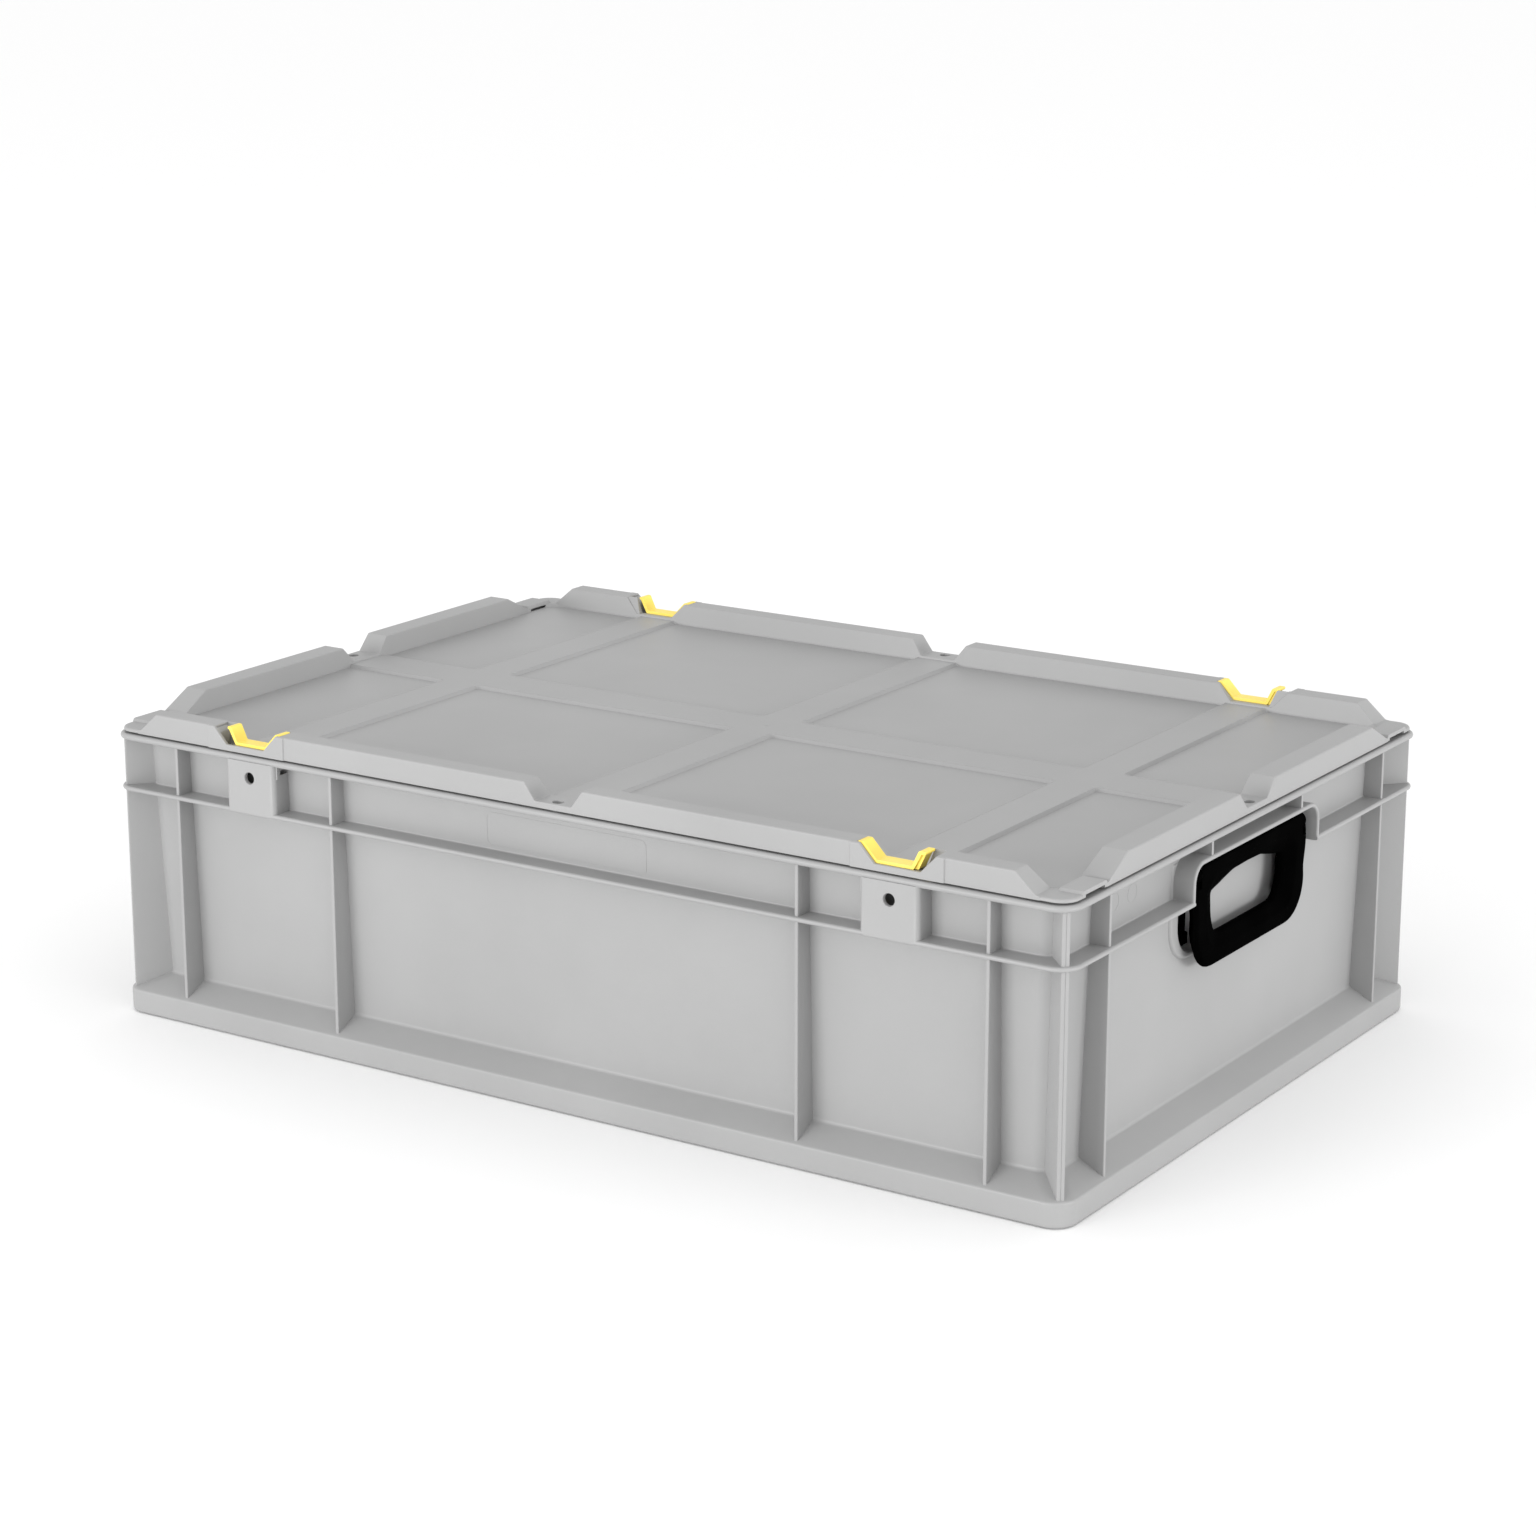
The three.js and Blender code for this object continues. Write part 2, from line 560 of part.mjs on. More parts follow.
function hook(sx, sy, tooth) {
  const { inner, outer, endDegrees, width } = HOOK;
  const top = LATCH_FLOOR + GAP + LATCH.sheet / 2;
  const end = THREE.MathUtils.degToRad(endDegrees);
  const shape = new THREE.Shape();
  shape.moveTo(outer, top);
  shape.absarc(0, HINGE.z, outer, 0, end, true);
  shape.absarc(0, HINGE.z, inner, end, 0, false);
  shape.lineTo(inner, top);
  const points = shape.getPoints(6).map((p) => [sy * (HINGE.y - p.x), p.y]);
  const start = sx * (LATCH_CENTRE + tooth);
  return prism("x", points, start, start + sx * width);
}

// ---------------------------------------------------------------- grips

// The ring of a grip, its front and back edges chamfered, bored at both sides for the pins.
function grip(sx) {
  const { back, front, chamfer, half, top } = GRIP;
  const layers = [
    [back, back + chamfer, chamfer],
    [back + chamfer, front - chamfer, 0],
    [front - chamfer, front, chamfer],
  ];
  const ring = join(layers.map(([x0, x1, inset]) => prism("x", ringOutline(inset), sx * x0, sx * x1, 5)));
  const clearOfEars = SIGNS.map((sy) =>
    block(
      [sx * (back - OVERLAP), sy * (EAR.inner - GAP), PIVOT.z - EAR.radius - PIVOT.shoulder],
      [sx * (front + OVERLAP), sy * (half + OVERLAP), top + OVERLAP],
    ),
  );
  return cut(ring, clearOfEars, SIGNS.map((sy) => pinBore(sx, sy)));
}

function pinBore(sx, sy) {
  const [middle, length] = [(PIN.boreInner + PIN.boreOuter) / 2, PIN.boreOuter - PIN.boreInner];
  return rod("y", [sx * PIVOT.x, sy * middle, PIVOT.z], PIVOT.radius + GAP, length);
}

function ringOutline(inset) {
  const { half, bottom, top, round } = GRIP;
  const shape = roundedRectangle(-half + inset, bottom + inset, half - inset, top - inset, round - inset);
  const [side, low] = [WINDOW.half + inset, WINDOW.bottom - inset];
  const [shoulder, crown, corner] = [WINDOW.side + inset, WINDOW.top + inset, WINDOW.round + inset];
  const hole = new THREE.Path();
  hole.moveTo(-side, shoulder);
  hole.quadraticCurveTo(0, 2 * crown - shoulder, side, shoulder);
  hole.lineTo(side, low + corner);
  hole.absarc(side - corner, low + corner, corner, 0, -Math.PI / 2, true);
  hole.absarc(-side + corner, low + corner, corner, -Math.PI / 2, -Math.PI, true);
  shape.holes.push(hole);
  return shape;
}

// The bracket that carries a grip: a bridge behind it, two arms with rest pads, and two bored ears.
function gripMount(sx) {
  const { back, front, foot, bridge, head } = MOUNT;
  const bar = block([sx * back, -ARM.outer, bridge], [sx * front, ARM.outer, head]);
  const arms = SIGNS.map((sy) =>
    block([sx * back, sy * ARM.inner, foot], [sx * front, sy * ARM.outer, bridge + OVERLAP]),
  );
  const pads = SIGNS.map((sy) =>
    block(
      [sx * back, sy * REST_PAD.inner, foot],
      [sx * (front + REST_PAD.thickness), sy * REST_PAD.outer, foot + REST_PAD.height],
    ),
  );
  const ears = SIGNS.map((sy) => ear(sx, sy));
  const bores = SIGNS.map((sy) => pinBore(sx, sy));
  const holes = SIGNS.map((sy) => rod("x", [sx * back, sy * SCREW.y, SCREW.z], SCREW.armHole, 20));
  return cut(join(bar, arms, pads, ears), bores, holes);
}

function ear(sx, sy) {
  const shape = new THREE.Shape();
  shape.moveTo(sx * MOUNT.back, EAR.rootBottom);
  shape.absarc(sx * PIVOT.x, PIVOT.z, EAR.radius, -Math.PI / 2, Math.PI / 2, sx < 0);
  shape.lineTo(sx * MOUNT.back, EAR.rootTop);
  const outline = shape.getPoints(8).map((p) => [p.x, p.y]);
  return prism("y", outline, sy * EAR.inner, sy * EAR.outer);
}

function gripPin(sx, sy) {
  const length = EAR.outer - PIN.inner;
  return rod("y", [sx * PIVOT.x, sy * (EAR.outer - length / 2), PIVOT.z], PIVOT.radius, length, 14);
}

// A pan-head screw from inside the box, through the wall into the bracket's arm.
function gripScrew(sx, sy) {
  const { radius, height, cross, crossHalf, crossDepth } = SCREW_HEAD;
  const [y, z] = [sy * SCREW.y, SCREW.z];
  const seat = RECESS_FLOOR - WALL - GAP;
  const shank = rod("x", [sx * (seat + SCREW.length / 2), y, z], SCREW.shank, SCREW.length + GAP, 12);
  const head = rod("x", [sx * (seat - height / 2), y, z], radius, height);
  const [outer, inner] = [sx * (seat - height - OVERLAP), sx * (seat - height + crossDepth)];
  const recess = join(
    block([outer, y - cross, z - crossHalf], [inner, y + cross, z + crossHalf]),
    block([outer, y - crossHalf, z - cross], [inner, y + crossHalf, z + cross]),
  );
  return cut(join(shank, head), recess);
}

// ---------------------------------------------------------------- tray

const TRAY_MIDDLE = (TRAY.start + TRAY.end) / 2;
const TRAY_HALF = (TRAY.end - TRAY.start) / 2;
const TRAY_TOP = RAIL.top + GAP + TRAY.flange;
const TRAY_WALL_Y = TRAY.halfWidth - TRAY_WALL_INSET - TRAY.wall;

function traySlab(z0, z1, insetLow, insetHigh) {
  return slab(z0, z1, insetLow, insetHigh, TRAY_HALF, TRAY.halfWidth).translate([TRAY_MIDDLE, 0, 0]);
}

function trayBody() {
  const { floor, wall, draft } = TRAY;
  const low = TRAY_WALL_INSET + draft;
  const flange = traySlab(RAIL.top + GAP, TRAY_TOP, 0, 0);
  const shell = traySlab(floor - wall, TRAY_TOP, low, TRAY_WALL_INSET);
  const inside = traySlab(floor, TRAY_TOP + OVERLAP, low + wall, TRAY_WALL_INSET + wall);
  const { half, bottom, top, round, reach } = FINGER_SLOT;
  const slots = [TRAY.start, TRAY.end].map((x) =>
    prism("x", roundedRectangle(-half, bottom, half, top, round), x - reach, x + reach),
  );
  return cut(join(cut(join(flange, shell), inside), dividerGuides()), slots);
}

// Pairs of small ribs on the tray's walls that the dividers stand between.
function dividerGuides() {
  const { rib, reach, longTop, crossTop } = GUIDE;
  const room = DIVIDER.sheet / 2 + GAP;
  const low = TRAY.floor - OVERLAP;
  const ends = [
    [TRAY.start + TRAY_WALL_INSET + TRAY.wall, 1],
    [TRAY.end - TRAY_WALL_INSET - TRAY.wall, -1],
  ];
  return SIGNS.flatMap((side) => {
    const [near, far] = [side * room, side * (room + rib)];
    return [
      ...ends.map(([x, inward]) => block([x - inward, near, low], [x + inward * reach, far, longTop])),
      ...CROSS_DIVIDERS.map((x) =>
        block([x + near, -TRAY_WALL_Y - OVERLAP, low], [x + far, -TRAY_WALL_Y + reach, crossTop]),
      ),
    ];
  });
}

function longDivider() {
  const { sheet, top, play } = DIVIDER;
  const inset = TRAY_WALL_INSET + TRAY.wall + TRAY.draft + play;
  const [x0, x1] = [TRAY.start + inset, TRAY.end - inset];
  return block([x0, -sheet / 2, TRAY.floor + GAP], [x1, sheet / 2, top]);
}

function crossDivider(x) {
  const { sheet, top, play } = DIVIDER;
  const y = TRAY_WALL_Y - TRAY.draft - play;
  return block([x - sheet / 2, -y, TRAY.floor + GAP], [x + sheet / 2, -sheet / 2 - GAP, top]);
}

// ---------------------------------------------------------------- assembly

const toolbox = new THREE.Group();

function place(name, look, body) {
  const mesh = new THREE.Mesh(geometryOf(body), new THREE.MeshStandardMaterial(LOOKS[look]));
  mesh.name = name;
  toolbox.add(mesh);
}

const X_NAMES = { "-1": "left", 1: "right" };
const Y_NAMES = { "-1": "front", 1: "rear" };

place("box_body", "shell", boxBody());
place("lid", "shell", lid());
for (const [sx, sy] of CORNERS) place(`latch_${Y_NAMES[sy]}_${X_NAMES[sx]}`, "latch", latch(sx, sy));
for (const sx of SIGNS) {
  const side = X_NAMES[sx];
  place(`grip_${side}`, "grip", grip(sx));
  place(`grip_mount_${side}`, "grip", gripMount(sx));
  for (const sy of SIGNS) {
    place(`grip_pin_${side}_${Y_NAMES[sy]}`, "steel", gripPin(sx, sy));
    place(`grip_screw_${side}_${Y_NAMES[sy]}`, "steel", gripScrew(sx, sy));
  }
}
place("tray_body", "tray", trayBody());
place("tray_divider_long", "tray", longDivider());
CROSS_DIVIDERS.forEach((x, i) => place(`tray_divider_cross_${i + 1}`, "tray", crossDivider(x)));

export default toolbox;
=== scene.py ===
# Looks for the stacking toolbox: moulded grey case and lid, yellow sliding latches, black folding
# grips, steel pins and screws, and the divided tray. Shapes are drawn in millimetres and scaled once.
import math

import bmesh
import bpy
from mathutils import Matrix, Vector


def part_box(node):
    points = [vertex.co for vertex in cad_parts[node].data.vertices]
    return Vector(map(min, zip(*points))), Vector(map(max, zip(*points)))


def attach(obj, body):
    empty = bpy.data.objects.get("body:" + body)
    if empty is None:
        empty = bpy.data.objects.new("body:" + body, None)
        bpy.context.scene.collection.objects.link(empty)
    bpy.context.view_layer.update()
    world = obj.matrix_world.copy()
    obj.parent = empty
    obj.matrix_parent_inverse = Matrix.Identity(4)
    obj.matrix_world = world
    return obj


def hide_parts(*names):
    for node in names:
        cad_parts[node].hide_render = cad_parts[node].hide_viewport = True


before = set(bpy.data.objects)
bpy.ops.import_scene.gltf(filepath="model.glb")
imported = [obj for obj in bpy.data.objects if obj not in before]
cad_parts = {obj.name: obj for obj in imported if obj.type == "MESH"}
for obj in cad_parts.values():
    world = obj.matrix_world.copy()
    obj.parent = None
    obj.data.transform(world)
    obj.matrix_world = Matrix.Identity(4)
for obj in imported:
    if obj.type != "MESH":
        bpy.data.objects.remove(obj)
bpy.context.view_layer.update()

SIGNS = (-1, 1)
CORNERS = [(sx, sy) for sx in SIGNS for sy in SIGNS]
X_NAMES = {-1: "left", 1: "right"}
Y_NAMES = {-1: "front", 1: "rear"}


def span(node):
    """A CAD node's lowest and highest corner in millimetres."""
    return [[1000 * c for c in corner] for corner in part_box(node)]


# ------------------------------------------------------------------ shapes

def add_object(verts, faces):
    """A mesh object from points and faces, its normals turned outward."""
    mesh = bpy.data.meshes.new("shape")
    mesh.from_pydata([tuple(v) for v in verts], [], faces)
    work = bmesh.new()
    work.from_mesh(mesh)
    bmesh.ops.remove_doubles(work, verts=work.verts, dist=1e-4)
    bmesh.ops.recalc_face_normals(work, faces=work.faces)
    work.to_mesh(mesh)
    work.free()
    made = bpy.data.objects.new("shape", mesh)
    bpy.context.scene.collection.objects.link(made)
    return made


def loft(rings, closed=False):
    """A solid through rings of equally many points; a closed one joins its last ring to its first."""
    count = len(rings[0])
    verts = [p for r in rings for p in r]
    faces = []
    steps = len(rings) if closed else len(rings) - 1
    for i in range(steps):
        a, b = i * count, ((i + 1) % len(rings)) * count
        for k in range(count):
            n = (k + 1) % count
            faces.append((a + k, a + n, b + n, b + k))
    if not closed:
        faces.append(tuple(range(count)))
        faces.append(tuple((len(rings) - 1) * count + k for k in range(count)))
    return add_object(verts, faces)


PLACE = {
    "x": lambda a, b, t: (t, a, b),
    "y": lambda a, b, t: (a, t, b),
    "z": lambda a, b, t: (a, b, t),
}


def prism(axis, outline, start, end, soft=0):
    """An outline, in (y, z), (x, z) or (x, y), pushed along an axis, its end edges bevelled if soft."""
    put = PLACE[axis]
    made = loft([[put(a, b, t) for a, b in outline] for t in (start, end)])
    return bevel(made, soft) if soft else made


def bevel(made, width, segments=2, angle=30):
    """Rounds every edge sharper than an angle."""
    work = bmesh.new()
    work.from_mesh(made.data)
    limit = math.radians(angle)
    edges = [e for e in work.edges if len(e.link_faces) == 2 and e.calc_face_angle() > limit]
    bmesh.ops.bevel(
        work, geom=edges, offset=width, segments=segments, profile=0.5, affect="EDGES",
        clamp_overlap=True,
    )
    bmesh.ops.recalc_face_normals(work, faces=work.faces)
    work.to_mesh(made.data)
    work.free()
    return made


def block(low, high, soft=0):
    """A box between two corners, its edges bevelled if soft."""
    (x0, y0, z0), (x1, y1, z1) = low, high
    return prism("z", [(x0, y0), (x1, y0), (x1, y1), (x0, y1)], z0, z1, soft)


def rounded(points, radii, steps=5, closed=True):
    """A polyline whose corners are turned with arcs."""
    if not isinstance(radii, (list, tuple)):
        radii = [radii] * len(points)
    out = []
    for i, (point, radius) in enumerate(zip(points, radii)):
        p = Vector(point)
        at_end = not closed and i in (0, len(points) - 1)
        if radius <= 0 or at_end:
            out.append((p.x, p.y))
            continue
        back = Vector(points[i - 1]) - p
        ahead = Vector(points[(i + 1) % len(points)]) - p
        half = back.angle(ahead) / 2
        if half > math.radians(89):
            out.append((p.x, p.y))
            continue
        reach = min(radius / math.tan(half), 0.49 * back.length, 0.49 * ahead.length)
        radius = reach * math.tan(half)
        u, w = back.normalized(), ahead.normalized()
        centre = p + (u + w).normalized() * (radius / math.sin(half))
        first, last = p + u * reach - centre, p + w * reach - centre
        a0 = math.atan2(first.y, first.x)
        turn = math.atan2(last.y, last.x) - a0
        turn = (turn + math.pi) % (2 * math.pi) - math.pi
        for k in range(steps + 1):
            a = a0 + turn * k / steps
            out.append((centre.x + radius * math.cos(a), centre.y + radius * math.sin(a)))
    return out


def box_outline(a0, b0, a1, b1, radii, steps=5):
    """A rectangle with rounded corners, from its lowest and highest corner."""
    return rounded([(a0, b0), (a1, b0), (a1, b1), (a0, b1)], radii, steps)


def rod(axis, centre, radius, length, segments=32, chamfer=0):
    """A round bar along an axis, its ends chamfered if asked."""
    half = length / 2
    rows = [(-half, radius), (half, radius)]
    if chamfer:
        tip = radius - chamfer
        rows = [(-half, tip), (chamfer - half, radius), (half - chamfer, radius), (half, tip)]
    return turned(axis, centre, rows, segments)


def turned(axis, centre, rows, segments=32):
    """A shape turned about an axis through a point, from rows of (place along the axis, radius)."""
    put = PLACE[axis]
    rings = []
    for along, radius in rows:
        ring = []
        for k in range(segments):
            a = 2 * math.pi * k / segments
            p = put(radius * math.cos(a), radius * math.sin(a), along)
            ring.append(tuple(c + d for c, d in zip(centre, p)))
        rings.append(ring)
    return loft(rings)


def combine(base, tools, operation):
    """Boolean work on a base with a list of tools, which are used up."""
    for tool in tools:
        step = base.modifiers.new("step", "BOOLEAN")
        step.operation = operation
        step.solver = "MANIFOLD"
        step.object = tool
    graph = bpy.context.evaluated_depsgraph_get()
    mesh = bpy.data.meshes.new_from_object(base.evaluated_get(graph))
    base.modifiers.clear()
    old, base.data = base.data, mesh
    bpy.data.meshes.remove(old)
    for tool in tools:
        bpy.data.objects.remove(tool)
    return base


def join(base, *tools):
    return combine(base, list(tools), "UNION")


def cut(base, *tools):
    return combine(base, list(tools), "DIFFERENCE")


def flip(made, sx=1, sy=1):
    """The mirror image of a shape in the middle planes."""
    made.data.transform(Matrix.Diagonal((sx, sy, 1, 1)))
    if sx * sy < 0:
        made.data.flip_normals()
    return made


# ------------------------------------------------------------------ materials

def new_material(name):
    """A material, its node tree and its shader."""
    made = bpy.data.materials.new(name)
    made.use_nodes = True
    tree = made.node_tree
    return made, tree, tree.nodes["Principled BSDF"]


def node(tree, kind, **inputs):
    """A new shader node with some of its inputs set."""
    made = tree.nodes.new(kind)
    for key, value in inputs.items():
        made.inputs[key.replace("_", " ")].default_value = value
    return made


def moulded(name, low, high, roughness, grain, depth, patch=9.0, index=1.5):
    """Moulded plastic: two close tones in large soft patches, fine grain in bump and roughness."""
    made, tree, shader = new_material(name)
    link = tree.links.new
    place = tree.nodes.new("ShaderNodeTexCoord")
    large = node(tree, "ShaderNodeTexNoise", Scale=patch, Detail=3.0, Roughness=0.55)
    fine = node(tree, "ShaderNodeTexNoise", Scale=grain, Detail=4.0, Roughness=0.65)
    link(place.outputs["Object"], large.inputs["Vector"])
    link(place.outputs["Object"], fine.inputs["Vector"])
    blend = node(tree, "ShaderNodeMath")
    blend.operation = "MULTIPLY_ADD"
    blend.inputs[1].default_value = 0.35
    link(fine.outputs["Fac"], blend.inputs[0])
    link(large.outputs["Fac"], blend.inputs[2])
    tone = tree.nodes.new("ShaderNodeValToRGB")
    tone.color_ramp.elements[0].position = 0.45
    tone.color_ramp.elements[0].color = (*low, 1)
    tone.color_ramp.elements[1].position = 0.9
    tone.color_ramp.elements[1].color = (*high, 1)
    link(blend.outputs[0], tone.inputs["Fac"])
    link(tone.outputs["Color"], shader.inputs["Base Color"])
    gloss = tree.nodes.new("ShaderNodeMapRange")
    gloss.inputs["To Min"].default_value = roughness - 0.06
    gloss.inputs["To Max"].default_value = roughness + 0.06
    link(fine.outputs["Fac"], gloss.inputs["Value"])
    link(gloss.outputs["Result"], shader.inputs["Roughness"])
    bump = tree.nodes.new("ShaderNodeBump")
    bump.inputs["Strength"].default_value = 1.0
    bump.inputs["Distance"].default_value = depth
    link(fine.outputs["Fac"], bump.inputs["Height"])
    link(bump.outputs["Normal"], shader.inputs["Normal"])
    shader.inputs["IOR"].default_value = index
    return made


def machined(name, colour, roughness):
    """Bright steel with fine turning marks."""
    made, tree, shader = new_material(name)
    link = tree.links.new
    place = tree.nodes.new("ShaderNodeTexCoord")
    marks = node(tree, "ShaderNodeTexNoise", Scale=900.0, Detail=3.0, Roughness=0.6)
    link(place.outputs["Object"], marks.inputs["Vector"])
    tone = tree.nodes.new("ShaderNodeValToRGB")
    tone.color_ramp.elements[0].color = (*[0.8 * c for c in colour], 1)
    tone.color_ramp.elements[1].color = (*colour, 1)
    link(marks.outputs["Fac"], tone.inputs["Fac"])
    link(tone.outputs["Color"], shader.inputs["Base Color"])
    gloss = tree.nodes.new("ShaderNodeMapRange")
    gloss.inputs["To Min"].default_value = roughness - 0.08
    gloss.inputs["To Max"].default_value = roughness + 0.1
    link(marks.outputs["Fac"], gloss.inputs["Value"])
    link(gloss.outputs["Result"], shader.inputs["Roughness"])
    bump = tree.nodes.new("ShaderNodeBump")
    bump.inputs["Distance"].default_value = 0.00002
    link(marks.outputs["Fac"], bump.inputs["Height"])
    link(bump.outputs["Normal"], shader.inputs["Normal"])
    shader.inputs["Metallic"].default_value = 1.0
    return made


SHELL = moulded("shell_plastic", (0.314, 0.314, 0.314), (0.342, 0.342, 0.342), 0.46, 1500.0, 0.00005)
LATCH = moulded("latch_plastic", (0.93, 0.70, 0.10), (1.0, 0.79, 0.15), 0.42, 1100.0, 0.00002, patch=40.0)
# The grips swallow nearly all light, so their refractive index is close to that of air.
GRIP = moulded("grip_plastic", (0.0004, 0.0004, 0.0004), (0.0014, 0.0014, 0.0014), 0.5, 1300.0, 0.0001,
               patch=30.0, index=1.015)
STEEL = machined("bright_steel", (0.62, 0.63, 0.65), 0.3)
TRAY = moulded("tray_plastic", (0.20, 0.205, 0.21), (0.235, 0.24, 0.245), 0.5, 1400.0, 0.00004)


def finish_piece(made, name, body, material, slot, *nodes, angle=34):
    """Scales a shape to metres, smooths it, gives it its look and ties it to its CAD body and nodes."""
    made.data.transform(Matrix.Scale(0.001, 4))
    made.data.shade_smooth()
    made.data.set_sharp_from_angle(angle=math.radians(angle))
    weigh = made.modifiers.new("weigh", "WEIGHTED_NORMAL")
    weigh.keep_sharp = True
    graph = bpy.context.evaluated_depsgraph_get()
    mesh = bpy.data.meshes.new_from_object(made.evaluated_get(graph))
    made.modifiers.clear()
    made.data = mesh
    made.name = name
    mesh.name = name
    mesh.materials.clear()
    mesh.materials.append(material)
    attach(made, body)
    if nodes:
        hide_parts(*nodes)
    return made


# ------------------------------------------------------------------ box

_, (HX, HY, RIM_TOP) = span("box_body")
WALL = 2.5
BAND_TOP = 12.4  # ribs stand on the band from here
SHELF_TOP = 21.5
INSET_LOW = 16.0
INSET_HIGH = 11.8
FLANGE = (128.4, 131.0)
RIM_LOW = RIM_TOP - 3.5
CORNER = 12.0
RIB_X = (147, 254.9)
RIB_Y = 156.3
RIB_BACK = 2.0  # how far the ribs' edges stay behind the box's outline
BOSS_X = (184.0, 217.7)
BOSS_HOLE = (201, 149)  # x and z
EJECTOR_MARKS = ((115.5, 145.5), (134.3, 145.5))  # |y| and z
LABEL = (50.7, 133, 151.5)  # half length, bottom and top of the frame for a label
LABEL_EDGE = 0.8
RECESS_FLOOR = 283.5
RECESS_TOP = 146.8
SCREW = (57.2, 118)  # where the grips' screws are: |y| and z
MID_FLANGE = (FLANGE[0] + FLANGE[1]) / 2
# Latches: where each is along the box, how high, its hooks and its sheet
(LATCH_START, _, _), (_, _, LATCH_TOP) = span("latch_front_right")
LATCH_MIDDLE = LATCH_START + 22
HOOK_X = (-7.6, 4.4)
HOOK_WIDTH = 3.4
LATCH_SHEET = 1.6


def wall_inset(z):
    """How far the drafted wall stands in from the box's outline at a height."""
    return INSET_LOW + (INSET_HIGH - INSET_LOW) * (z - SHELF_TOP) / (RIM_LOW - SHELF_TOP)


def ring(inset, z, half_x=None, half_y=None, radius=None, shift=0.0, steps=8):
    """A rounded rectangle that stands in by an inset from a half length and a half width."""
    x, y = (half_x or HX) - inset, (half_y or HY) - inset
    if radius is None:
        radius = CORNER - inset if inset < 3 else CORNER
    outline = box_outline(-x, -y, x, y, radius, steps)
    return [(shift + a, b, z) for a, b in outline]


def arc(centre, radius, first, last, steps=5):
    """Points (inset, z) on an arc, angles in degrees."""
    return [
        (centre[0] + radius * math.cos(math.radians(first + (last - first) * k / steps)),
         centre[1] + radius * math.sin(math.radians(first + (last - first) * k / steps)))
        for k in range(steps + 1)
    ]


def shell_profile():
    """The box's section, from under the floor round the outside to the inside, as (inset, z)."""
    low, high = FLANGE
    under = [
        (17.5, 3.5), (16.3, 3.4), (16, 3.0), (16, 0.3), (15.7, 0.0), (13.8, 0.0), (13.5, 0.3), (13.5, 10.6),
        (13.1, 11.0), (2.9, 11.0), (2.5, 10.6), (2.5, 0.3), (2.3, 0.0)]
    foot = arc((1.6, 1.6), 1.6, 270, 180, 4)
    band = arc((1.5, 12.2), 1.5, 180, 112, 4)
    shelf = rounded([(1.0, 13.6), (INSET_LOW, SHELF_TOP), (wall_inset(40), 40)], [0, 2.2, 0], 4, closed=False)

    def creased(points):
        return rounded(points, [0, 0.9, 0], 3, closed=False)

    below = creased([(wall_inset(110), 110), (wall_inset(low), low), (1.2, low)])
    nose = arc((1.3, MID_FLANGE), 1.3, 270, 90, 6)
    above = creased([(1.4, high), (wall_inset(high), high), (wall_inset(145), 145)])
    neck = creased([(wall_inset(150), 150), (wall_inset(RIM_LOW), RIM_LOW), (1.9, RIM_LOW)])
    half = (RIM_TOP - RIM_LOW) / 2
    bead = arc((half, RIM_LOW + half), half, 270, 90, 8)
    inner_top = wall_inset(RIM_TOP) + WALL
    inner = rounded([(2.4, RIM_TOP), (inner_top, RIM_TOP), (INSET_LOW + WALL, 6.0), (60, 6.0)],
                    [0, 0.7, 2.5, 0], 4, closed=False)
    return under + foot + band + shelf[1:] + below + nose + above + neck + bead + inner


def along_wall(outline, side, lift, base=-1.0):
    """A closed strip that follows an outline in (x, z) on a long wall and stands off its drafted face."""
    rings = []
    for depth in (base, lift):
        rings.append([(x, side * (HY - wall_inset(z) + depth), z) for x, z in outline])
    return loft(rings)


def build_box():
    """The case: a turned section with ribs, bosses, arches and lips joined to it."""
    profile = []
    for point in shell_profile():
        if not profile or (Vector(point) - Vector(profile[-1])).length > 0.02:
            profile.append(point)
    body = loft([ring(inset, z) for inset, z in profile])

    # room under the arches, where the flange gives way
    rooms = []
    for sx in SIGNS:
        outline = box_outline(-70.2, 122.0, 70.2, 148.3, [0.01, 0.01, 9.7, 9.7], 6)
        rooms.append(prism("x", outline, sx * (HX - wall_inset(136) + 0.15), sx * (HX + 3)))
    body = cut(body, *rooms)

    parts = []
    for x in RIB_X:
        for sx, sy in CORNERS:
            parts.append(upright_rib(sx * x, sy))
    for sx, sy in CORNERS:
        parts.append(short_rib(sx, sy * RIB_Y))
        parts.append(corner_rib(sx, sy))
        parts.append(boss(sx, sy))
        parts.append(boss_tab(sx, sy))
    for sx in SIGNS:
        parts.append(arch(sx))
        parts.append(lip(sx))
        for sy in SIGNS:
            parts.append(arch_rib(sx, sy))
    parts += [tray_rail(sy) for sy in SIGNS]
    parts += base_webs()
    body = join(body, *parts)

    holes = []
    for sx, sy in CORNERS:
        holes += boss_pocket(sx, sy)
    for sx in SIGNS:
        holes += grip_recess(sx)
    body = cut(body, *holes)

    # marks and frames that only just stand off the walls
    frames = []
    for sx in SIGNS:
        for y, z in EJECTOR_MARKS:
            frames.append(ejector_ring(sx, -sx * y, z))
    half, low, high = LABEL
    edge = LABEL_EDGE
    for sy in SIGNS:
        outside = box_outline(-half, low, half, high, 3.5, 4)
        inside = box_outline(edge - half, low + edge, half - edge, high - edge, 2.8, 4)
        frames.append(cut(along_wall(outside, sy, 0.13), along_wall(inside, sy, 1.0, -2.0)))
    return join(body, *frames)


